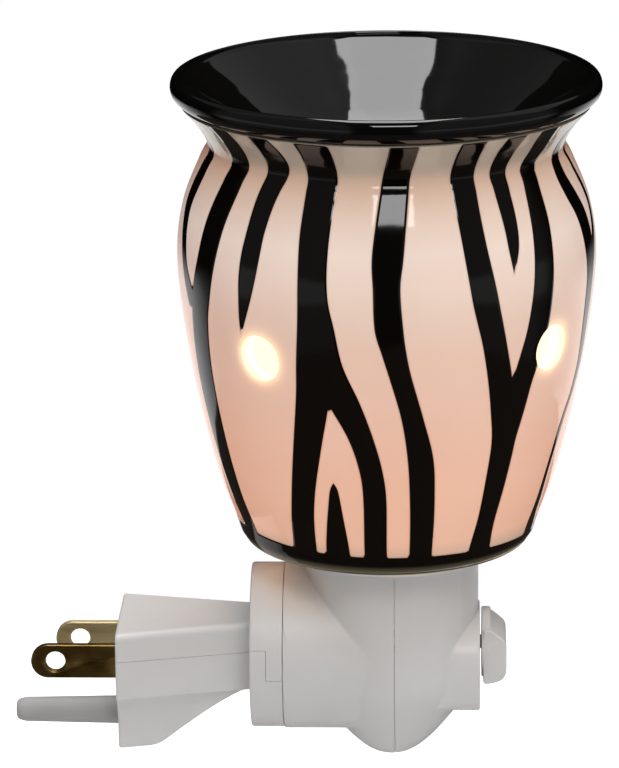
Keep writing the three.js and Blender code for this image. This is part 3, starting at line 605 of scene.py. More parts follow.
# %% Brush strokes
STRIPE_TURN, STROKE_BLEND = 0.8, 0.35
FRONT_STROKES = [
    [(-84, 81.1, 4.4), (-78, 76.5, 4.0), (-75, 73, 4.0), (-76.5, 68, 4.8), (-76.8, 64.5, 4.4),
     (-75.5, 61, 3.6), (-73.7, 57.5, 3.2), (-72, 54, 3.2), (-69.5, 50.5, 4.2), (-66.5, 46.5, 5.0)],
    [(-53, 81.1, 5.4), (-52.5, 76.8, 5.6), (-53, 73, 5.2), (-54.8, 67.5, 5.7), (-56.5, 61.5, 5.9),
     (-58, 56.4, 6.0), (-60.8, 50.4, 6.6), (-63.2, 45.5, 6.8), (-65.2, 38, 7.2), (-65.8, 29.4, 7.2),
     (-64.5, 17, 6.0), (-61.8, 4.5, 4.8), (-61, -1, 4.8)],
    [(-37.5, 81.1, 4.4), (-35.2, 76.2, 4.8), (-36.4, 72.7, 4.4), (-38, 69, 4.2), (-38.9, 64, 4.0),
     (-39.6, 60, 4.2), (-40.3, 56, 3.9), (-41.2, 52, 2.9), (-42.4, 48.2, 1.6), (-43.4, 44.8, 0.0)],
    [(-21, 81.1, 6.4), (-20.3, 78, 5.9), (-20, 73.6, 5.5), (-20.2, 65.2, 5.5), (-20.1, 57.2, 5.4),
     (-19.8, 50, 6.0), (-20.3, 42, 6.6), (-21.4, 35, 6.3), (-24.6, 25.2, 5.4), (-28.4, 15, 4.7),
     (-31.8, 4.7, 4.9), (-32.4, -1, 5.0)],
    [(-20, 58, 3.0), (-18.6, 50, 5.4), (-16.9, 42, 6.2), (-12.3, 35, 5.9), (-7.6, 28, 4.5), (-4.8, 21.5, 4.1),
     (-3.9, 15.5, 4.1), (-4.2, 5.8, 4.0), (-4.2, -1, 4.0)],
    [(-16.9, 19.2, 0.0), (-17, 17.6, 1.5), (-17.3, 13.7, 2.6), (-17.8, 9, 3.7), (-18.3, 4.9, 4.4),
     (-18.4, -1, 4.6)],
    [(5, 81.1, 5.2), (4.4, 78.5, 5.0), (3, 74.1, 4.8), (1.3, 67, 5.3), (0.3, 61.2, 5.5), (0, 56, 4.8),
     (0.6, 48.8, 5.0), (2.1, 44, 4.3), (3.9, 39.5, 3.9), (7.3, 31.9, 3.9), (10.1, 24, 4.6), (11.3, 16, 4.5),
     (12.3, 4.5, 4.1), (12.5, -1, 4.1)],
    [(24.6, 81.1, 4.8), (24.1, 73.4, 4.5), (24.5, 63.6, 4.5), (27.1, 53.1, 5.1), (30.6, 44.5, 4.9),
     (33.2, 38, 5.1), (35.3, 32, 5.2), (37.3, 25.7, 5.4), (36.9, 17.9, 4.8), (36.2, 10, 4.1),
     (36.6, 3.7, 4.8), (36.8, -1, 5.0)],
    [(38.5, 81.1, 4.4), (37.6, 77, 4.0), (36.9, 72.6, 3.4), (37, 66, 3.0), (36.8, 61, 2.2),
     (36.1, 56.8, 0.0)],
    [(51.5, 81.1, 5.2), (53, 76.8, 5.4), (50.2, 73.5, 4.2), (49.3, 71.2, 3.9), (48.2, 64.8, 4.6),
     (47.4, 58.1, 5.0), (46.5, 51, 5.4), (45.4, 45.6, 5.6), (43.4, 40.5, 5.6), (41.3, 36, 5.2), (40, 31, 4.8),
     (38.2, 25, 4.4), (37.5, 20, 3.0)],
    [(75, 81.1, 5.2), (73, 77.5, 4.8), (69, 74.1, 3.6), (66.2, 71.3, 3.6), (68.2, 67, 4.7), (70.4, 64, 5.0),
     (72.2, 61, 5.2), (73.6, 57, 5.3), (74.7, 52, 5.0), (74.5, 47, 4.4), (74.6, 41, 3.8), (75, 35, 3.3),
     (72.5, 30, 2.4), (69, 26, 2.0), (67, 21.4, 1.9), (65.6, 14, 2.0), (66.8, 8, 3.0), (68.4, 4.5, 4.4),
     (69, -1, 4.8)],
    [(88, 81.1, 3.0), (80.5, 74.5, 2.2), (79, 71.7, 1.5), (82, 66.1, 2.2), (82.4, 62.2, 2.4),
     (80.6, 58.7, 3.0), (77, 54, 3.4), (75.5, 50, 3.0)],
]


def stroke_distance(around, height, stroke):
    """Signed distance in mm from points (degrees round, height) to a stroke's edge, negative inside."""
    middle = smooth_curve(stroke)
    middle = middle[np.argsort(middle[:, 1], kind="stable")]
    centre = np.radians(np.interp(height, middle[:, 1], middle[:, 0]))
    width = np.interp(height, middle[:, 1], middle[:, 2])
    step = 0.5
    ahead = np.radians(np.interp(height + step, middle[:, 1], middle[:, 0]))
    behind = np.radians(np.interp(height - step, middle[:, 1], middle[:, 0]))
    radius = radius_at(height)
    lean = radius * (ahead - behind) / (2 * step)
    turn = np.radians(around) - centre
    turn = np.abs((turn + np.pi) % (2 * np.pi) - np.pi)
    sideways = (turn * radius - width / 2) / np.hypot(1, lean)
    beyond = np.maximum(middle[0, 1] - height, height - middle[-1, 1])
    return np.maximum(sideways, beyond)


def soft_least(first, second, blend):
    """The smaller of two values, with a smooth bend of that size where they are equal."""
    near = np.maximum(blend - np.abs(first - second), 0) / blend
    return np.minimum(first, second) - near**2 * blend / 4


def stripe_distance(around, height):
    """Signed distance in mm to the nearest black: the strokes, front and back, and the foot's band."""
    turn = np.radians(around)
    black = height - (4.1 - 0.8 * np.sin(turn) + 0.2 * np.sin(3 * turn))
    sway = 2.0 * np.sin(height / 11)
    for shift in (0, 180 + sway):
        for stroke in FRONT_STROKES:
            black = soft_least(black, stroke_distance(around + shift, height, stroke), STROKE_BLEND)
    return black


print("strokes:", 2 * len(FRONT_STROKES))

# %% The jar's grid and its vents
VENTS, VENT_RADIUS, VENT_EDGE, VENT_HEIGHT, VENT_TURN = 4, 4.0, 0.4, 41.4, -36.7
vent_angles = np.radians(VENT_TURN + 360 / VENTS * np.arange(VENTS))
column_angles = np.linspace(0, 2 * np.pi, COLUMNS, endpoint=False)
# The lip's round top, as pairs: how far in from the outer face, and how far above its last row.
LIP_ROWS = np.array([(0.2, 0.12), (0.55, 0.27), (0.95, 0.31), (1.35, 0.27), (1.7, 0.12)])


def wrapped(angle):
    """The same angle between -pi and pi."""
    return (angle + np.pi) % (2 * np.pi) - np.pi


def wall_point(angle, height, inset):
    """A point of the wall: inset mm in from the outer face, in the frame's millimetres."""
    radius = radius_at(height) - inset
    across, aside = jar_x + radius * np.cos(angle), jar_y + radius * np.sin(angle)
    return np.stack([across, aside, jar_foot + height + 0 * angle], axis=-1)


def onto_vent(angle, height, inset, mask):
    """Moves the marked grid points onto the nearest vent's rounded edge."""
    radius = radius_at(height) - inset
    turns = wrapped(angle[..., None] - vent_angles)
    nearest = np.abs(turns).argmin(axis=-1)
    turn = np.take_along_axis(turns, nearest[..., None], -1)[..., 0]
    across, up = radius * np.sin(turn), height - VENT_HEIGHT
    grow = (VENT_RADIUS + VENT_EDGE) / np.maximum(np.hypot(across, up), 1e-6)
    new_angle = vent_angles[nearest] + np.arcsin(np.clip(across * grow / radius, -1, 1))
    new_height = VENT_HEIGHT + up * grow
    return np.where(mask, new_angle, angle), np.where(mask, new_height, height)


grid_angle, grid_height = np.meshgrid(column_angles, wall_height)
half_column = np.pi / COLUMNS
cell_height = (grid_height[:-1] + grid_height[1:]) / 2
cell_turn = wrapped(grid_angle[:-1, :, None] + half_column - vent_angles)
cell_across = radius_at(cell_height)[..., None] * np.sin(cell_turn)
cell_up = (cell_height - VENT_HEIGHT)[..., None]
facing = np.abs(cell_turn) < np.pi / 2
in_vent = (facing & (np.hypot(cell_across, cell_up) < VENT_RADIUS + VENT_EDGE)).any(axis=-1)

padded = np.vstack([np.zeros((1, COLUMNS), bool), in_vent, np.zeros((1, COLUMNS), bool)])
left = np.roll(padded, 1, axis=1)
around_point = np.stack([padded[:-1], padded[1:], left[:-1], left[1:]])
on_edge = around_point.any(axis=0) & ~around_point.all(axis=0)

outer_angle, outer_height = onto_vent(grid_angle, grid_height, 0.0, on_edge)
inner_angle, inner_height = onto_vent(grid_angle, grid_height, WALL, on_edge)
outer_points = wall_point(outer_angle, outer_height, 0.0)
first_inner = int(np.argmax(wall_height > FLOOR + 1.2))
inner_points = wall_point(inner_angle, inner_height, wall_at(inner_height))[first_inner:][::-1]

lip_radius = wall_radius[-1] - LIP_ROWS[:, 0]
lip_points = np.stack(np.broadcast_arrays(
    jar_x + lip_radius[:, None] * np.cos(column_angles),
    jar_y + lip_radius[:, None] * np.sin(column_angles),
    jar_high[2] - LIP_ROUND + LIP_ROWS[:, 1:],
), axis=-1)
inner_foot = wall_radius[first_inner] - WALL
foot_corners = [
    (inner_foot - 1.5, FLOOR), (HOLE_RADIUS, FLOOR), (HOLE_RADIUS, 0), (FOOT_RADIUS, 0), (EDGE_RADIUS, 1.9),
]
# The last corner is left out, because the outer face already starts there.
CORNER_STEPS = 5
foot_round = rounded(foot_corners, [0, 0.5, 0.5, 0.9, 0], CORNER_STEPS)[:-CORNER_STEPS - 1]
foot_points = turned(spaced(foot_round, 1.2), COLUMNS, (jar_x, jar_y, jar_foot))[0]
sheet = np.concatenate([
    outer_points.reshape(-1, 3), lip_points.reshape(-1, 3), inner_points.reshape(-1, 3), foot_points,
])
sheet_rows = len(sheet) // COLUMNS
sheet[:, 2] = np.minimum(sheet[:, 2], jar_high[2])

# %% The vents' tunnels and the jar's mesh
cells = grid_faces(sheet_rows, COLUMNS, ring=True).reshape(sheet_rows, COLUMNS, 4)
keep = np.ones((sheet_rows, COLUMNS), bool)
keep[:ROWS - 1] = ~in_vent
inner_start = ROWS + len(LIP_ROWS)
inner_cells = in_vent[first_inner:][::-1]
keep[inner_start:inner_start + len(inner_cells)] = ~inner_cells

edge_row, edge_column = np.nonzero(on_edge)
edge_number = np.full(on_edge.shape, -1)
edge_number[edge_row, edge_column] = np.arange(len(edge_row))
rounding = np.radians([30.0, 60.0, 90.0])
edge_depth = VENT_EDGE * (1 - np.cos(rounding)) / WALL
depths = np.r_[edge_depth, 0.3, 0.5, 0.7, 1 - edge_depth[::-1]]
widths = VENT_EDGE * np.r_[1 - np.sin(rounding), 0, 0, 0, (1 - np.sin(rounding))[::-1]]
turns = wrapped(grid_angle[on_edge][:, None] - vent_angles)
edge_vent = np.abs(turns).argmin(axis=1)
edge_turn = turns[np.arange(len(turns)), edge_vent]
edge_across = radius_at(grid_height[on_edge]) * np.sin(edge_turn)
edge_heading = np.arctan2(grid_height[on_edge] - VENT_HEIGHT, edge_across)


def tunnel_ring(depth, width):
    """One ring of points inside the vents, a share of the wall's thickness deep."""
    circle = VENT_RADIUS + width
    height = VENT_HEIGHT + circle * np.sin(edge_heading)
    ring = 0
    for inset, share in ((0.0, 1 - depth), (WALL, depth)):
        reach = radius_at(height) - inset
        angle = vent_angles[edge_vent] + np.arcsin(circle * np.cos(edge_heading) / reach)
        ring = ring + share * wall_point(angle, height, inset)
    return ring


rings = [tunnel_ring(depth, width) for depth, width in zip(depths, widths)]
outer_number = edge_row * COLUMNS + edge_column
inner_number = (inner_start + (ROWS - 1 - edge_row)) * COLUMNS + edge_column
ring_numbers = len(sheet) + np.arange(len(rings) * len(edge_row)).reshape(len(rings), -1)
chain = np.vstack([outer_number, ring_numbers, inner_number])
row, column = np.nonzero(in_vent != np.roll(in_vent, 1, axis=1))
upright = np.stack([edge_number[row, column], edge_number[row + 1, column]], axis=1)
row, column = np.nonzero(in_vent[1:] != in_vent[:-1])
level = np.stack([edge_number[row + 1, column], edge_number[row + 1, (column + 1) % COLUMNS]], axis=1)
first, second = np.vstack([upright, level]).T
tunnel = np.stack([chain[:-1, first], chain[:-1, second], chain[1:, second], chain[1:, first]], axis=-1)

jar_mesh = mesh_from("jar", np.vstack([sheet] + rings), np.vstack([cells[keep], tunnel.reshape(-1, 4)]))
add_piece("striped_jar", jar_mesh, jar_glaze, "jar", ["ceramic_jar"], sharp=60)

# %% Values for the jar's glaze
spots = np.empty(len(jar_mesh.vertices) * 3, np.float32)
jar_mesh.vertices.foreach_get("co", spots)
spots = spots.reshape(-1, 3) / MM - (jar_x, jar_y, jar_foot)
spot_angle = np.arctan2(spots[:, 1], spots[:, 0])
spot_radius = np.hypot(spots[:, 0], spots[:, 1])
spot_height = spots[:, 2]
around = np.degrees(spot_angle) + 90 - STRIPE_TURN
deep = np.clip((radius_at(spot_height) - spot_radius) / wall_at(spot_height), 0, 1)
deep = np.where(spot_height < 0.6, 0, deep)

LAMP_HEIGHT, LIT_RADIUS, BARE_RADIUS, HALO = 24.0, 30.0, 24.2, 0.6
GLOW_TOP, GLOW_BOTTOM, GLOW_FADE = 77.0, 1.5, 5.0
# The bare ring under the foot is unglazed clay, and it also carries a painted glow.
bare_and_glow = (spot_height < 0.2) & (spot_radius < BARE_RADIUS)
# The lamp lights the wall as cos(a) / d^2, and for an upright wall cos(a) is its radius divided by d.
lamp_away = np.hypot(spot_radius, spot_height - LAMP_HEIGHT)
spread = LIT_RADIUS**2 * spot_radius / lamp_away**3
open_share = np.clip((GLOW_TOP - spot_height) / GLOW_FADE, 0, 1)
open_share = open_share**2 * (3 - 2 * open_share)
foot_share = np.clip((spot_height - GLOW_BOTTOM) / GLOW_FADE, 0, 1)

turns = wrapped(spot_angle[:, None] - vent_angles)
vent_across = spot_radius[:, None] * np.sin(turns)
vent_away = np.hypot(vent_across, (spot_height - VENT_HEIGHT)[:, None])
vent_away = np.where(np.abs(turns) < np.pi / 2, vent_away, np.inf).min(axis=1)
# A halo of painted light round each vent, fading out just beyond its edge.
halo = HALO * np.exp(-np.maximum(vent_away - VENT_RADIUS - 0.15, 0) / 0.8)


def store(mesh, name, values):
    """Keeps one number for each point of a mesh."""
    attribute = mesh.attributes.new(name, "FLOAT", "POINT")
    attribute.data.foreach_set("value", np.ascontiguousarray(values, np.float32))


# Stripes and glow belong to the outer face, so both fade with depth in the wall.
to_stripe = stripe_distance(around, spot_height)
store(jar_mesh, "stripe_mm", to_stripe + 12 * deep)
store(jar_mesh, "glow", (0.75 + 0.25 * np.clip(spread, 0, 1)) * open_share * foot_share * (1 - deep))
# The vents' tunnels glow with painted light.
in_tunnel = (vent_away < VENT_RADIUS + 0.35) & (deep > 0.03) & (deep < 0.97)
store(jar_mesh, "vent_light", np.where(deep > 0.9, 0, np.maximum(halo, 0.9 * in_tunnel)))
# A painted glow on the inside face, which fades out under the dish.
store(jar_mesh, "inside", np.clip(deep * 1.4 - 0.3, 0, 1) * open_share)
store(jar_mesh, "bare_and_glow", bare_and_glow.astype(float))
print(f"black covers {(to_stripe < 0)[deep < 0.1].mean():.0%} of the jar's outside")

# %% [markdown]
# The wax dish
#
# A shallow bowl with a rolled lip, glazed black all over. It caps the jar, and its bowl hangs inside the
# neck. It is a plain turned shape, so all the care goes into the profile: the roll of the lip carries the
# thin white highlight that tells the eye how thick the dish is.

# %% The dish
RIM_TOP = box_mm("wax_dish")[1][2]
DISH_DEPTH, DISH_WALL, LIP_DROP, CORNER = 16.5, 2.6, 4.4, 9.0
RIM_RADIUS, WIDEST_RADIUS = 37.9, 38.55
INSIDE_NECK = NECK_RADIUS - WALL
cone_foot = np.array([INSIDE_NECK - 12.25, -DISH_DEPTH])
cone_top = np.array([RIM_RADIUS - 0.95, -0.6])
up_cone = (cone_top - cone_foot) / np.linalg.norm(cone_top - cone_foot)
t = np.linspace(0, 1, 16)[:, None]
on_floor, on_cone = cone_foot - (CORNER, 0), cone_foot + CORNER * up_cone
corner = (1 - t) ** 2 * on_floor + 2 * t * (1 - t) * cone_foot + t**2 * on_cone
bowl = spaced(np.vstack([(0, -DISH_DEPTH), corner, cone_top]), 0.8)
roll = smooth_curve([
    cone_top, (RIM_RADIUS - 0.82, -0.15), (RIM_RADIUS - 0.55, 0.0), (RIM_RADIUS - 0.15, -0.12),
    (WIDEST_RADIUS - 0.42, -0.45), (WIDEST_RADIUS - 0.13, -0.98), (WIDEST_RADIUS, -LIP_DROP * 0.42),
    (WIDEST_RADIUS - 0.2, -LIP_DROP * 0.64), (WIDEST_RADIUS - 0.85, -LIP_DROP * 0.84),
    (LIP_RADIUS - 0.1, -LIP_DROP),
], per_span=6)
FLARE, OUTER_BOTTOM, FIT = 0.96, -DISH_DEPTH - DISH_WALL, 0.7
neck_drop = jar_foot + NECK_SHARE * jar_height - RIM_TOP
under = spaced(np.array([
    (LIP_RADIUS - 0.1, -LIP_DROP), (LIP_RADIUS - LIP_WALL - FIT, -LIP_DROP),
    (NECK_RADIUS + 2 - wall_at(FLARE * jar_height) - FIT, jar_foot + FLARE * jar_height - RIM_TOP),
    (INSIDE_NECK - FIT, neck_drop), (INSIDE_NECK - FIT - DISH_WALL, neck_drop - DISH_WALL * 0.8),
    (cone_foot[0] + DISH_WALL * 0.6, OUTER_BOTTOM + DISH_WALL * 0.45),
    (cone_foot[0] - CORNER / 2, OUTER_BOTTOM), (0.0, OUTER_BOTTOM),
]), 1.5)
profile = np.vstack([bowl[:-1], roll[:-1], under])
profile[:, 0] = np.maximum(profile[:, 0], 0)
dish_mesh = turned_mesh("dish", profile, 256, (jar_x, jar_y, RIM_TOP))
add_piece("glazed_dish", dish_mesh, dish_glaze, "dish", ["wax_dish"], sharp=50)

# %% [markdown]
# Moulded shapes as depths
#
# The base is a pot with a pointed dome, a barrel towards the plug and a boss for the switch, run together
# with soft corners. Each of those is easy to describe by how deep a point lies inside it. The deepest of
# the three gives the whole, and a smooth version of "deepest" makes the fillet where two forms meet. From a
# centre inside, every direction meets the skin once, so halving a distance over and over finds it.


# %% Depths, soft corners and skins
def soft_most(first, second, blend):
    """The larger of two values, with a smooth bend of that size where they are equal."""
    return -soft_least(-first, -second, blend)


def deep_in_all(blend, *depths):
    """Depth inside the part that several forms have in common, with softened edges."""
    depth = depths[0]
    for other in depths[1:]:
        depth = soft_least(depth, other, blend)
    return depth


def skin(depth, centre, start, end, rings, around, level=0.0, reach=60.0):
    """Points where depth(x, y, z) falls to level, on rays from centre, start to end radians from -X."""
    polar = np.linspace(start, end, rings)[:, None]
    turn = np.linspace(0, 2 * np.pi, around, endpoint=False)[None]
    heading = np.stack(np.broadcast_arrays(
        -np.cos(polar), np.sin(polar) * np.cos(turn), np.sin(polar) * np.sin(turn)), axis=-1)
    near, far = np.zeros((rings, around)), np.full((rings, around), reach)
    centre = np.asarray(centre, float)
    for _ in range(34):
        middle = (near + far) / 2
        spot = centre + heading * middle[..., None]
        inside = depth(spot[..., 0], spot[..., 1], spot[..., 2]) > level
        near, far = np.where(inside, middle, near), np.where(inside, far, middle)
    return centre + heading * near[..., None]


# %% The housing's form
half_low, half_high = box_mm("housing_plug_side")
lamp_low, lamp_high = box_mm("lamp_cap")
LAMP_X = (lamp_low[0] + lamp_high[0]) / 2
LAMP_AXIS = (LAMP_X, 0, 0)
BODY_RADIUS, BARREL_RADIUS = half_high[1], 15.45
DOME_DEPTH, DOME_SHOULDER = -half_low[2], -4.0
BARREL_START, BODY_TOP = box_mm("plug_lower_shell")[1][0] + 0.08, half_high[2]
BOSS_END = box_mm("housing_switch_side")[1][0]
BOSS_HALF_WIDTH, BOSS_HALF_HEIGHT, BOSS_DROP = 12.0, 8.4, 1.2
HOUSING_WALL, STEP_X, STEP_HEIGHT = 2.0, 12.2, 0.1
SEAM_X, SEAM_GAP, SEAM_EASE = half_high[0] + 0.12, 0.07, 0.004
OUTER_RINGS, INNER_RINGS, SIDES = 118, 46, 288
dome = smooth_curve([
    (0.0, -DOME_DEPTH), (BODY_RADIUS * 0.24, -DOME_DEPTH * 0.955), (BODY_RADIUS * 0.48, -DOME_DEPTH * 0.81),
    (BODY_RADIUS * 0.72, -DOME_DEPTH * 0.59), (BODY_RADIUS * 0.9, -DOME_DEPTH * 0.39),
    (BODY_RADIUS, DOME_SHOULDER), (BODY_RADIUS, 5.0), (BODY_RADIUS, 12.0),
])


def housing_depth(top, fillet=0.15):
    """Depth inside pot, barrel and boss together, for a pot that ends at a given height."""

    def depth(x, y, z):
        from_axis = np.hypot(x - LAMP_X, y)
        pot_radius = np.interp(z, dome[:, 1], dome[:, 0])
        step = STEP_HEIGHT * np.clip((x - LAMP_X - STEP_X) / 0.15, 0, 1) * np.clip((z - 5) / 4, 0, 1)
        pot = np.minimum(np.minimum(pot_radius + step - from_axis, top - z), z + DOME_DEPTH)
        barrel = deep_in_all(0.2, BARREL_RADIUS - np.hypot(y, z), x - BARREL_START)
        barrel = np.minimum(barrel, LAMP_X - x)
        # The boss is an oval |y/a|^p + |z/b|^p = 1, round above and nearly square below.
        up = z + BOSS_DROP
        power = np.where(up > 0, 2.5, 7.0)
        oval = (np.abs(y / BOSS_HALF_WIDTH) ** power + np.abs(up / BOSS_HALF_HEIGHT) ** power) ** (1 / power)
        boss = deep_in_all(0.35, (1 - oval) * BOSS_HALF_HEIGHT, BOSS_END - x)
        boss = np.minimum(boss, x - LAMP_X + 4)
        return soft_most(soft_most(pot, barrel, fillet), boss, fillet)

    return depth


def housing_half(name, start, end, gap_side):
    """One half of the housing: outer skin, seam face and inner skin, made too tall and cut off at the top."""
    centre = np.array([SEAM_X, 0.0, -1.0])
    outer = skin(housing_depth(BODY_TOP + 5), centre, start, end, OUTER_RINGS, SIDES)
    inner = skin(housing_depth(BODY_TOP + 12), centre, end, start, INNER_RINGS, SIDES, level=HOUSING_WALL)
    outer[-1] += (centre - outer[-1]) * SEAM_EASE
    points = np.concatenate([outer, inner]).reshape(-1, 3)
    limit = SEAM_X + gap_side * SEAM_GAP / 2
    points[:, 0] = np.minimum(points[:, 0], limit) if gap_side < 0 else np.maximum(points[:, 0], limit)
    mesh = mesh_from(name, points, grid_faces(len(outer) + len(inner), SIDES))
    return cut(mesh, brick((0, -40, BODY_TOP), (90, 40, BODY_TOP + 30)))


plug_half = housing_half("plug_half", 0.0, np.pi / 2, -1)
switch_half = housing_half("switch_half", np.pi, np.pi / 2, 1)
print("housing halves:", len(plug_half.polygons), len(switch_half.polygons), "faces")

# %% The swivel tube, the shaft's hole and the two halves
TUBE_START, TUBE_RADIUS, TUBE_BORE, FLANGE_RADIUS = 26.6, 9.0, 7.0, 11.6
plug_half = cut(plug_half, rod((TUBE_BORE + TUBE_RADIUS) / 2, 25, 40, 96))
tube_profile = rounded([
    (TUBE_BORE, TUBE_START), (FLANGE_RADIUS, TUBE_START), (FLANGE_RADIUS, TUBE_START + 1.5),
    (TUBE_RADIUS, TUBE_START + 1.5), (TUBE_RADIUS, BARREL_START + 1.6), (TUBE_BORE, BARREL_START + 1.6),
], 0.25, 3)
swivel_tube = turned_mesh("swivel_tube", tube_profile, 96, axis="X", closed=True)
plug_half = combined(plug_half, swivel_tube, "UNION")
SHAFT_RISE, SHAFT_ROOM = 0.6, 1.6
switch_half = cut(switch_half, rod(SHAFT_ROOM, 50, 80, 48, (0, 0, SHAFT_RISE)))
for name, mesh, node in (("base_plug_half", plug_half, "housing_plug_side"),
                         ("base_switch_half", switch_half, "housing_switch_side")):
    add_piece(name, mesh, white_plastic, "base", [node], sharp=38)

# %% [markdown]
# The plug
#
# The plug is a block that is wide at its face, drawn in to the collar, with a sloped chin. Its two shells
# meet along a fine line that steps down across the collar. The block is one depth function, the collar is
# turned, and then the block is hollowed, slotted for the blades and split along the stepped line.

# %% The plug's block and collar
PLUG_LENGTH, FACE_HALF, NECK_HALF = 24.6, 12.5, 6.4
PLUG_TOP, PLUG_BOTTOM, BOTTOM_HALF, SIDE_DROP = 5.8, 17.8, 8.0, 6.6
FLAT_LENGTH, NECK_DROP, PLUG_WALL = 7.2, 6.8, 1.8
COLLAR_RADIUS, COLLAR_WIDTH, COLLAR_WALL = 15.2, 6.0, 1.7
BLADE_SPACING, BLADE_DROP, PIN_DROP = 12.7, 1.1, 13.0


def plug_depth(x, y, z):
    """Depth inside the plug's block: tapered sides that curve in below, a top, a sloped chin and two ends."""
    side = np.abs(y)
    half = FACE_HALF - (FACE_HALF - NECK_HALF) * x / PLUG_LENGTH
    below = np.clip((-SIDE_DROP - z) / (PLUG_BOTTOM - SIDE_DROP), 0, 1)
    cove = (FACE_HALF - BOTTOM_HALF) * (1 - (1 - below) ** 3.4)
    slope = (PLUG_BOTTOM - NECK_DROP) / (PLUG_LENGTH - 1.5 - FLAT_LENGTH)
    chin = (z + PLUG_BOTTOM - slope * (x - FLAT_LENGTH)) / math.hypot(1, slope)
    chin = soft_least(z + PLUG_BOTTOM, soft_most(chin, z + NECK_DROP, 0.3), 0.9)
    side_depth = (half - cove - side) * 0.9
    top = PLUG_TOP + 0.016 * x - z
    block = deep_in_all(1.3, side_depth, top)
    return deep_in_all(0.5, block, chin, x, PLUG_LENGTH + 0.9 - x)


BLOCK_GRID, HOLLOW_GRID = (190, 300), (60, 120)
block_centre = (10.0, 0.0, -3.5)
block_skin = skin(plug_depth, block_centre, 0, np.pi, *BLOCK_GRID).reshape(-1, 3)
block = mesh_from("block", block_skin, grid_faces(*BLOCK_GRID))
hollow = skin(plug_depth, block_centre, 0, np.pi, *HOLLOW_GRID, level=PLUG_WALL).reshape(-1, 3)
hollow[:, 0] = np.minimum(hollow[:, 0], PLUG_LENGTH - 0.2)
collar_end = PLUG_LENGTH + COLLAR_WIDTH
collar_profile = spaced(rounded([
    (0, PLUG_LENGTH), (COLLAR_RADIUS, PLUG_LENGTH), (COLLAR_RADIUS, collar_end), (0, collar_end),
], [0, 0.5, 0.15, 0]), 1.2)
plug_body = combined(block, turned_mesh("collar", collar_profile, 192, axis="X"), "UNION")
plug_body = cut(plug_body, (hollow, grid_faces(*HOLLOW_GRID)))

# %% Room for the swivel, the blades and the pin
PLAY, NECK_BORE, SLOT_HALF_WIDTH, SLOT_HALF_HEIGHT, PIN_HOLE = 0.3, 4.4, 1.0, 3.45, 2.85
flange_room, tube_room = FLANGE_RADIUS + PLAY, TUBE_RADIUS + PLAY
room_start, room_end = PLUG_LENGTH + COLLAR_WALL, TUBE_START + 1.5 + PLAY
plug_body = cut(plug_body, turned([
    (0, PLUG_LENGTH - 3), (NECK_BORE, PLUG_LENGTH - 3), (NECK_BORE, room_start), (flange_room, room_start),
    (flange_room, room_end), (tube_room, room_end), (tube_room, 40), (0, 40),
], 120, axis="X"))
slot = np.array([(-4, -SLOT_HALF_WIDTH, -SLOT_HALF_HEIGHT), (6, SLOT_HALF_WIDTH, SLOT_HALF_HEIGHT)])
slots = [brick(*(slot + (0, side * BLADE_SPACING / 2, -BLADE_DROP))) for side in (-1, 1)]
plug_body = cut(plug_body, *slots, rod(PIN_HOLE, -4, 6, 64, (0, 0, -PIN_DROP)))

# %% The stepped seam between the plug's shells
PLUG_SEAM, SEAM_HIGH, SEAM_LOW, SEAM_STEP, LINE = 0.6, 3.8, -1.9, 3.0, 0.07


def stepped_wall(shift):
    """A wide solid above the seam line, raised by shift."""
    step_start, step_end = PLUG_LENGTH - shift, PLUG_LENGTH + SEAM_STEP + shift
    line = np.array([
        (-9, PLUG_SEAM + shift), (step_start, PLUG_SEAM + shift), (step_start, SEAM_HIGH + shift),
        (step_end, SEAM_HIGH + shift), (step_end, SEAM_LOW + shift), (50, SEAM_LOW + shift),
        (50, 40), (-9, 40),
    ])
    near = np.column_stack([line[:, 0], np.full(len(line), -40.0), line[:, 1]])
    ring = np.arange(len(line))
    faces = grid_faces(2, len(line)).tolist() + [ring.tolist(), (ring[::-1] + len(line)).tolist()]
    return mesh_from("wall", np.vstack([near, near + (0, 80, 0)]), faces)


upper = combined(plug_body, stepped_wall(LINE / 2), "INTERSECT")
lower = combined(plug_body, stepped_wall(-LINE / 2), "DIFFERENCE")
for name, mesh, node in (("plug_upper", upper, "plug_upper_shell"),
                         ("plug_lower", lower, "plug_lower_shell")):
    add_piece(name, mesh, white_plastic, "plug", [node], sharp=38)

# %% [markdown]
# Blades and ground pin
#
# The two blades are stamped from brass strip and the ground pin is moulded. A stamped piece has a flat
# face, a crisp but not sharp edge, and a hole whose rim rolls in a little. So a blade is a stack of
# outlines, each a touch smaller towards the faces, less a hole with a flared mouth. The pin is a turned rod
# with a flat head.

# %% Stamped blades
EDGE, CROSS_HOLE, HOLE_FROM_TIP = 0.22, 1.8, 4.5


def slab(outline, low, high, edge, centre=(0, 0, 0)):
    """A plate in the X-Z plane between two values of Y, with its edges eased in three steps."""
    outline = np.asarray(outline, float)
    following = np.roll(outline, -1, axis=0)
    heading = following - np.roll(outline, 1, axis=0)
    heading /= np.linalg.norm(heading, axis=1, keepdims=True)
    area = np.sum(outline[:, 0] * following[:, 1] - outline[:, 1] * following[:, 0]) / 2
    outward = np.column_stack([heading[:, 1], -heading[:, 0]]) * np.sign(area)
    ease = np.radians([0, 22, 45, 67, 90])
    inset = edge * (1 - np.sin(ease))
    offset = edge * (1 - np.cos(ease))
    levels = np.r_[low + offset, high - offset[::-1]]
    insets = np.r_[inset, inset[::-1]]
    count = len(outline)
    loops = []
    for level, inset in zip(levels, insets):
        ring = outline - outward * inset
        loops.append(np.column_stack([ring[:, 0], np.full(count, level), ring[:, 1]]))
    faces = grid_faces(len(loops), count).tolist()
    faces += [list(range(count)), list(range((len(loops) - 1) * count, len(loops) * count))]
    return np.vstack(loops) + np.asarray(centre, float), faces


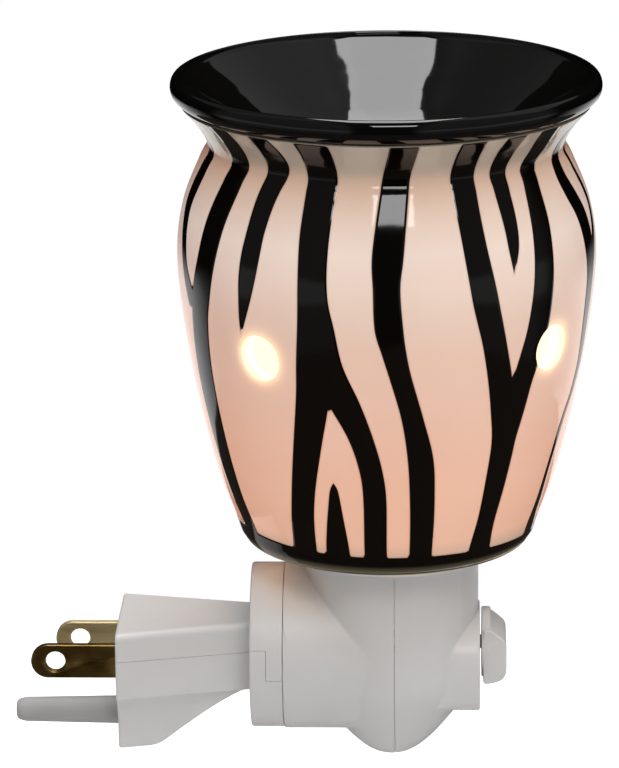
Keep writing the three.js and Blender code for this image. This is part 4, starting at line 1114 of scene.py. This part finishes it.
def blade_mesh(node):
    """A blade where the frame has it: round nose, eased edges and a flared cross hole."""
    low, high = box_mm(node)
    half = (high[2] - low[2]) / 2
    middle = (low + high) / 2
    turn = np.linspace(np.pi / 2, 1.5 * np.pi, 41)
    nose = np.column_stack([low[0] + half + half * np.cos(turn), half * np.sin(turn)])
    outline = np.vstack([[(high[0], half)], nose, [(high[0], -half)]])
    mesh = mesh_from(node, *slab(outline, low[1], high[1], EDGE, (0, 0, middle[2])))
    thick = high[1] - low[1]
    mouth = -thick / 2
    flare = [(0, -thick), (CROSS_HOLE + 0.5, -thick), (CROSS_HOLE + 0.5, mouth - 0.02),
             (CROSS_HOLE + 0.25, mouth + 0.1), (CROSS_HOLE + 0.06, mouth + 0.3), (CROSS_HOLE, mouth + 0.5)]
    flare += [(radius, -height) for radius, height in flare[::-1]]
    points, faces = turned(flare, 64)
    return cut(mesh, (points[:, [0, 2, 1]] + (low[0] + HOLE_FROM_TIP, middle[1], middle[2]), faces))


for node, finish in (("hot_blade", brass), ("neutral_blade", lit_brass)):
    name = node.replace("blade", "contact_blade")
    add_piece(name, blade_mesh(node), finish, "plug", [node], sharp=32)

# %% The ground pin
pin_low, pin_high = box_mm("ground_pin")
ROOT_RADIUS, TIP_RADIUS = 2.6, 2.25
pin_profile = rounded([
    (0, pin_low[0]), (TIP_RADIUS - 0.5, pin_low[0]), (TIP_RADIUS, pin_low[0] + 1.5), (ROOT_RADIUS, 0),
    (ROOT_RADIUS, pin_high[0]), (0, pin_high[0]),
], [0, 0.7, 1.0, 0.4, 0.1, 0], 8)
pin = turned_mesh("pin", spaced(pin_profile, 1.0), 72, (0, 0, -PIN_DROP), axis="X")
head = brick((pin_high[0] - 1.7, pin_low[1], pin_low[2] + 0.1), (pin_high[0] - 0.02, *pin_high[1:]))
pin_mesh = combined(pin, mesh_from("head", *head), "UNION")
add_piece("turned_ground_pin", pin_mesh, pin_plastic, "plug", ["ground_pin"], sharp=38)

# %% [markdown]
# The switch knob
#
# A round disc with a thumb block on it. The block's side view is drawn as an outline and given its width, the
# disc is turned, and the two are joined. Every edge is eased, as it would be to leave the mould.

# %% The knob
knob_low, knob_high = box_mm("switch_knob")
start, end = knob_low[0], knob_high[0]
DISC_RADIUS, DISC_END, SHAFT_BORE, SHAFT_AXIS = 6.5, start + 1.7, 1.4, (0, 0, SHAFT_RISE)
disc_corners = [(0, start), (DISC_RADIUS, start), (DISC_RADIUS, DISC_END), (0, DISC_END)]
disc_profile = spaced(rounded(disc_corners, [0, 0.3, 0.55, 0]), 1.0)
disc = turned_mesh("disc", disc_profile, 120, SHAFT_AXIS, axis="X")
BAR_TOP, BAR_BOTTOM, BAR_HALF_WIDTH = 4.3, 6.3, 6.3
bar_outline = rounded([
    (start + 0.3, -BAR_BOTTOM), (end - 2.0, -BAR_BOTTOM + 0.3), (end - 0.6, -BAR_BOTTOM + 1.0),
    (end, -BAR_BOTTOM + 2.2), (end, BAR_TOP - 2.3), (start + 1.7, BAR_TOP), (start + 0.3, BAR_TOP),
], [0.7, 0.7, 0.8, 1.0, 1.2, 0.7, 0.7], 6)
bar = mesh_from("bar", *slab(bar_outline, -BAR_HALF_WIDTH, BAR_HALF_WIDTH, 0.4, SHAFT_AXIS))
knob = cut(combined(disc, bar, "UNION"), rod(SHAFT_BORE, 40, 71, 40, SHAFT_AXIS))
add_piece("thumb_knob", knob, white_plastic, "knob", ["switch_knob"], sharp=38)

# %% [markdown]
# Seat, lamp holder and lamp
#
# These are hidden while the jar stands in place, and seen when it is lifted off. All are turned about the
# lamp's axis. The cap of a night-light lamp has a rolled thread, so its radius swings as it climbs: the
# height along the axis plus one pitch for each turn gives the phase of a wave.

# %% The seat and the lamp holder
seat_low, seat_high = box_mm("jar_seat")
SEAT_BOTTOM, SEAT_TOP, SEAT_BORE = seat_low[2] + 4.6, seat_low[2] + 6.3, 9.3
SPIGOT, SPIGOT_WALL, SPIGOT_TOP = 15.5, 1.5, SEAT_TOP + 1.8
skirt_radius, seat_radius = BODY_RADIUS - HOUSING_WALL - PLAY, seat_high[0] - LAMP_X
seat_profile = rounded([
    (SEAT_BORE, seat_low[2]), (skirt_radius, seat_low[2]), (skirt_radius, SEAT_BOTTOM),
    (seat_radius, SEAT_BOTTOM), (seat_radius, SEAT_TOP), (SPIGOT, SEAT_TOP), (SPIGOT, SPIGOT_TOP),
    (SPIGOT - SPIGOT_WALL, SPIGOT_TOP), (SPIGOT - SPIGOT_WALL, SEAT_TOP), (SEAT_BORE, SEAT_TOP),
], 0.3)
seat_mesh = turned_mesh("seat", spaced(seat_profile, 1.0, closed=True), 192, LAMP_AXIS, closed=True)
add_piece("moulded_seat", seat_mesh, white_plastic, "base", ["jar_seat"])

holder_low, holder_high = box_mm("lamp_socket")
HOLDER_RADIUS, HOLDER_FLANGE, FLANGE_LOW, FLANGE_TOP = 9, 11.4, seat_low[2] - 2.0, seat_low[2] - 0.3
HOLDER_FLOOR, HOLDER_BORE = holder_low[2] + 1.7, box_mm("screw_shell")[1][0] - LAMP_X + PLAY
LEAD_HOLE, LEAD_SHIFTS = 1.1, (0, -5)
holder_profile = rounded([
    (0, holder_low[2]), (HOLDER_RADIUS, holder_low[2]), (HOLDER_RADIUS, FLANGE_LOW),
    (HOLDER_FLANGE, FLANGE_LOW), (HOLDER_FLANGE, FLANGE_TOP), (HOLDER_RADIUS, FLANGE_TOP),
    (HOLDER_RADIUS, holder_high[2]), (HOLDER_BORE, holder_high[2]), (HOLDER_BORE, HOLDER_FLOOR),
    (0, HOLDER_FLOOR),
], [0, 0.4, 0.2, 0.3, 0.3, 0.2, 0.5, 0.4, 0.2, 0])
holder = turned_mesh("holder", spaced(holder_profile, 1.0), 144, LAMP_AXIS)
holder = cut(holder, *[rod(LEAD_HOLE, 0, 20, 24, (LAMP_X + shift, 0, 0), axis="Z") for shift in LEAD_SHIFTS])
add_piece("lamp_holder", holder, insulator, "base", ["lamp_socket"])
print("seat and holder done")

# %% The lamp's cap with its thread
PITCH, THREAD_DEPTH, THREAD_START, THREAD_END, THREAD_FADE = 2.54, 0.32, 1.6, 1.4, 1.2
CAP_MOUTH, CAP_SIDES = 4.0, 168
cap_radius = lamp_high[0] - LAMP_X
cap_profile = spaced(rounded([
    (CAP_MOUTH, lamp_low[2]), (cap_radius - 0.8, lamp_low[2]), (cap_radius, lamp_low[2] + 1.2),
    (cap_radius, lamp_high[2]), (cap_radius - 0.5, lamp_high[2]), (CAP_MOUTH + 0.5, lamp_low[2] + 1.5),
], [0.2, 0.5, 0.5, 0.2, 0.2, 0.3]), 0.16, closed=True)
cap_points, cap_faces = turned(cap_profile, CAP_SIDES, closed=True)
cap_turn = np.arctan2(cap_points[:, 1], cap_points[:, 0])
cap_reach = np.hypot(cap_points[:, 0], cap_points[:, 1])
phase = 2 * np.pi * cap_points[:, 2] / PITCH - cap_turn
above_start = cap_points[:, 2] - lamp_low[2] - THREAD_START
below_end = lamp_high[2] - THREAD_END - cap_points[:, 2]
fade = np.clip(above_start / THREAD_FADE, 0, 1) * np.clip(below_end / THREAD_FADE, 0, 1)
dent = THREAD_DEPTH * fade * (cap_reach > cap_radius - 0.05) * (0.5 - 0.5 * np.cos(phase))
cap_points[:, :2] = cap_points[:, :2] * (1 - dent / cap_reach)[:, None] + (LAMP_X, 0)
add_piece("threaded_cap", mesh_from("cap", cap_points, cap_faces), lamp_brass, "lamp", ["lamp_cap"])

tip_low, tip_high = box_mm("lamp_tip")
tip_corners = [(0, tip_low[2]), (2.2, tip_low[2] + 0.2), (2.2, tip_high[2]), (0, tip_high[2])]
tip_mesh = turned_mesh("tip", rounded(tip_corners, [0, 0.7, 0.1, 0], 8), 64, LAMP_AXIS)
add_piece("solder_tip", tip_mesh, lamp_brass, "lamp", ["lamp_tip"])

# %% Lamp glass and stem
glass_low, glass_high = box_mm("lamp_glass")
GLASS_RADIUS, GLASS_NECK, GLASS_WALL = 11.0, 5.2, 0.8


def envelope(inset):
    """The bulb's curve from its neck to its top, moved in by the wall."""
    base, top = glass_low[2], glass_high[2]
    height = top - base
    curve = smooth_curve([
        (GLASS_NECK - inset, base), (GLASS_NECK + 1.0 - inset, base + height * 0.08),
        (GLASS_RADIUS * 0.8 - inset, base + height * 0.22), (GLASS_RADIUS - inset, base + height * 0.5),
        (GLASS_RADIUS * 0.76 - inset, base + height * 0.83),
        (GLASS_RADIUS * 0.3 - inset * 0.8, top - 1.1 - inset), (0.0, top - inset),
    ], per_span=12)
    return np.maximum(curve, (0, base))


glass_profile = np.vstack([envelope(0.0)[::-1], envelope(GLASS_WALL)])
glass_mesh = turned_mesh("glass", glass_profile, 128, LAMP_AXIS)
add_piece("bulb", glass_mesh, clear_glass, "lamp", ["lamp_glass"])

stem_low, stem_high = box_mm("lamp_stem")
stem_profile = spaced(rounded([
    (0, stem_low[2]), (GLASS_NECK - GLASS_WALL - 0.3, stem_low[2]), (2.4, stem_low[2] + 2.5),
    (1.5, stem_high[2]), (0, stem_high[2]),
], [0, 0.5, 1.5, 0.9, 0]), 0.8)
stem_mesh = turned_mesh("stem", stem_profile, 64, LAMP_AXIS)
add_piece("glass_stem", stem_mesh, clear_glass, "lamp", ["lamp_stem"])

# %% The filament
wire_points = np.array([
    (-1, 0, 0.3), (-3.2, 0, 6.8), (-4.5, 0, 12.3), (-2.3, 1.0, 13.9), (0, 1.4, 14.3),
    (2.3, 1.0, 13.9), (4.5, 0, 12.3), (3.2, 0, 6.8), (1, 0, 0.3),
]) + (LAMP_X, 0, stem_high[2])


def across_path(path):
    """Two directions A and B at right angles to a path, at each of its points."""
    along = np.gradient(path, axis=0)
    along /= np.linalg.norm(along, axis=1, keepdims=True)
    aside = np.cross(along, (0.0, 1.0, 0.0))
    aside /= np.linalg.norm(aside, axis=1, keepdims=True)
    return aside, np.cross(aside, along)


def coil(path, radius, sides, wound, pitch):
    """A round wire on a coiled path: P + wound (cos s A + sin s B), with s one turn for each pitch."""
    path = spaced(smooth_curve(path, 40), 0.12)
    walked = np.r_[0, np.cumsum(np.linalg.norm(np.diff(path, axis=0), axis=1))][:, None]
    spin = 2 * np.pi / pitch * walked
    aside, above = across_path(path)
    path = path + wound * (np.cos(spin) * aside + np.sin(spin) * above)
    aside, above = across_path(path)
    turn = np.linspace(0, 2 * np.pi, sides, endpoint=False)[None, :, None]
    ring = path[:, None] + radius * (np.cos(turn) * aside[:, None] + np.sin(turn) * above[:, None])
    first_end = np.arange(sides)
    last_end = first_end + (len(path) - 1) * sides
    faces = grid_faces(len(path), sides).tolist() + [first_end.tolist(), last_end.tolist()]
    return ring.reshape(-1, 3), faces


wire_mesh = mesh_from("filament", *coil(wire_points, 0.16, 8, wound=0.17, pitch=0.62))
add_piece("coiled_filament", wire_mesh, glowing_wire, "lamp", ["lamp_filament"])

# %% [markdown]
# Inner pieces
#
# Contacts, leads, the switch's case and its shaft are inside the base and the plug. Nothing is gained by
# shaping them again, so the solids of the frame stay as they are and only get their materials.

# %% Materials for the inner pieces
finishes = {
    "white_plastic": white_plastic, "insulator": insulator, "lead_insulation": lead_cover, "brass": brass,
}
inner = {name: solid for name, solid in nodes.items() if not solid.hide_render}
for name, solid in inner.items():
    solid.data.materials[0] = finishes[solid.data.materials[0].name]
print("left as solids:", ", ".join(sorted(inner)))

# %% [markdown]
# Floor and surroundings
#
# The photograph shows the object alone on white. The floor is a pale sheet well below the base, so that the
# shadow stays soft. The world is white to the camera. Black glaze mirrors what stands round it, so to
# mirrored rays the world is bright low down behind the object, dim grey at the sides with a slightly
# lighter table edge, and black straight ahead, where the camera stands.

# %% The floor
floor_material = bpy.data.materials.new("pale_floor")
floor_material.use_nodes = True
tree = floor_material.node_tree
rays = put(tree, "LightPath").outputs
seen = maths(tree, "MAXIMUM", rays["Is Camera Ray"], rays["Is Transmission Ray"])
dress(tree, tree.nodes["Principled BSDF"], {
    "Base Color": blend_colours(tree, rays["Is Glossy Ray"], rgb(0.8, 0.8, 0.8), rgb(0.05, 0.04, 0.032)),
    "Roughness": 0.9,
    "Specular IOR Level": 0.1,
    "Emission Color": rgb(1, 1, 1),
    "Emission Strength": maths(tree, "MULTIPLY", seen, 0.6),
})
FLOOR_Z, FLOOR_RADIUS = half_low[2] - 120, 420
floor_mesh = turned_mesh("floor", [(0, FLOOR_Z), (FLOOR_RADIUS, FLOOR_Z)], 96, LAMP_AXIS)
floor_mesh.materials.append(floor_material)
floor = bpy.data.objects.new("floor", floor_mesh)
bpy.context.collection.objects.link(floor)

# %% The world
world = bpy.data.worlds.new("studio")
world.use_nodes = True
bpy.context.scene.world = world
tree = world.node_tree
rays = put(tree, "LightPath").outputs
heading = put(tree, "SeparateXYZ", {0: put(tree, "TexCoord").outputs["Generated"]}).outputs
behind = ramp(tree, heading["Y"], 0.25, 0.85)
low = ramp(tree, heading["Z"], -0.32, -0.2, 1.0, 0.0)
backlight = maths(tree, "MULTIPLY", behind, low)
aside = ramp(tree, maths(tree, "ABSOLUTE", heading["X"]), 0.24, 0.36)
above_table = ramp(tree, heading["Z"], -0.34, -0.27)
table_edge = maths(tree, "MULTIPLY", above_table, ramp(tree, heading["Z"], -0.12, -0.05, 1.0, 0.0))
ahead = ramp(tree, heading["Y"], 0.3, 0.0)
grey = maths(tree, "ADD", maths(tree, "MULTIPLY", table_edge, 0.2), 0.1)
walls = maths(tree, "MULTIPLY", maths(tree, "MULTIPLY", aside, ahead), grey)
glossy_view = maths(tree, "MAXIMUM", backlight, walls)
level = blend_colours(tree, rays["Is Glossy Ray"], rgb(0.20, 0.20, 0.20), rgb(0, 0, 0))
mirrored = maths(tree, "MULTIPLY", glossy_view, rays["Is Glossy Ray"])
seen = maths(tree, "MAXIMUM", rays["Is Camera Ray"], rays["Is Transmission Ray"])
backdrop = blend_colours(tree, seen, added(tree, level, mirrored), rgb(1, 1, 1))
tree.links.new(backdrop, tree.nodes["Background"].inputs["Color"])

# %% [markdown]
# Soft lamps
#
# A long soft light above gives the light patch in the dish. Two dim walls give the dish its dark grey sides,
# and a window in front gives the highlight on the jar's shoulder. Three ceiling lamps light the tops of the
# plug and the knob, and a fill lamp lights their fronts; these four are not mirrored, so that they leave no
# mark in the glaze. Each lamp is set by how bright its face is, compared with white paper, because that is
# what the black glaze shows of it.

# %% Lamps
AIM = np.array([LAMP_X, 0.0, 50.0])


def soft_lamp(name, azimuth, elevation, distance, width, height, brightness, mirrored=True):
    """A flat lamp that faces AIM, in metres. At brightness 1 it is as white as paper: power = pi * area."""
    turn, rise = math.radians(azimuth), math.radians(elevation)
    towards = np.array([math.sin(turn) * math.cos(rise), -math.cos(turn) * math.cos(rise), math.sin(rise)])
    lamp = bpy.data.lights.new(name, "AREA")
    lamp.shape, lamp.size, lamp.size_y = "RECTANGLE", width, height
    lamp.energy = brightness * math.pi * width * height
    holder = bpy.data.objects.new(name, lamp)
    holder.visible_glossy = mirrored
    bpy.context.collection.objects.link(holder)
    side = np.cross((0.0, 0.0, 1.0), towards)
    side = side / np.linalg.norm(side)
    up = np.cross(towards, side)
    place = AIM * MM + towards * distance
    holder.matrix_world = Matrix([[side[k], up[k], towards[k], place[k]] for k in range(3)] + [[0, 0, 0, 1]])


soft_lamp("overhead", 181, 77.6, 1.1, 0.46, 0.8, 5.6)
for where, azimuth, brightness in (("left", -75, 1.8), ("front", 0, 2.2), ("right", 75, 3.2)):
    soft_lamp("ceiling_" + where, azimuth, 60, 1.2, 0.6, 0.6, brightness, mirrored=False)
soft_lamp("right_wall", 121, 55, 1.3, 1.15, 1.15, 0.25)
soft_lamp("left_wall", -121, 55, 1.3, 1.15, 1.15, 0.09)
soft_lamp("window", 5.4, 38.0, 1.2, 0.46, 0.30, 7.4)
soft_lamp("fill", 24, 22, 1.3, 0.5, 0.5, 2.6, mirrored=False)

# %% [markdown]
# Camera
#
# The view was worked out from the photograph's own rim, foot and plug: a long lens, a little above the
# object, and turned by less than a degree. The rim's centre is the fixed point, and the camera is placed so
# that this point falls where the photograph has it.

# %% The camera
PHOTO_WIDTH, PHOTO_HEIGHT = 619, 768
LENS_MM, FILM_MM = 140.0, 24.0
CAMERA_AWAY, CAMERA_RISE, CAMERA_TURN, CAMERA_ROLL = 800.0, 12.4, 0.8, -0.45
rim_centre = np.array([49.5, 0.0, 107.4])
rim_pixel = (387.2, 75.0)
focal = LENS_MM / FILM_MM * PHOTO_HEIGHT
cos_roll, sin_roll = math.cos(math.radians(CAMERA_ROLL)), math.sin(math.radians(CAMERA_ROLL))
across, down = rim_pixel[0] - PHOTO_WIDTH / 2, rim_pixel[1] - PHOTO_HEIGHT / 2
level_x, level_y = cos_roll * across + sin_roll * down, cos_roll * down - sin_roll * across
yaw = math.atan2(level_x, focal)
pitch = math.radians(CAMERA_RISE) - math.atan2(level_y, math.hypot(focal, level_x))
turn_about_z = np.array(Matrix.Rotation(math.radians(CAMERA_TURN), 3, "Z"))
rise = math.radians(CAMERA_RISE)
place = rim_centre + turn_about_z @ (0, -CAMERA_AWAY * math.cos(rise), CAMERA_AWAY * math.sin(rise))
ahead = turn_about_z @ (-math.sin(yaw) * math.cos(pitch), math.cos(yaw) * math.cos(pitch), -math.sin(pitch))
side = turn_about_z @ (math.cos(yaw), math.sin(yaw), 0.0)
below = np.cross(ahead, side)
right = cos_roll * side - sin_roll * below
up = -(sin_roll * side + cos_roll * below)
camera_data = bpy.data.cameras.new("camera")
camera_data.sensor_fit, camera_data.sensor_height, camera_data.lens = "VERTICAL", FILM_MM, LENS_MM
camera_data.clip_start, camera_data.clip_end = 0.05, 50.0
camera = bpy.data.objects.new("camera", camera_data)
bpy.context.collection.objects.link(camera)
axes = (right, up, -ahead, place * MM)
camera.matrix_world = Matrix([[axis[k] for axis in axes] for k in range(3)] + [[0, 0, 0, 1]])
bpy.context.scene.camera = camera
bpy.context.scene.view_settings.view_transform = "Standard"
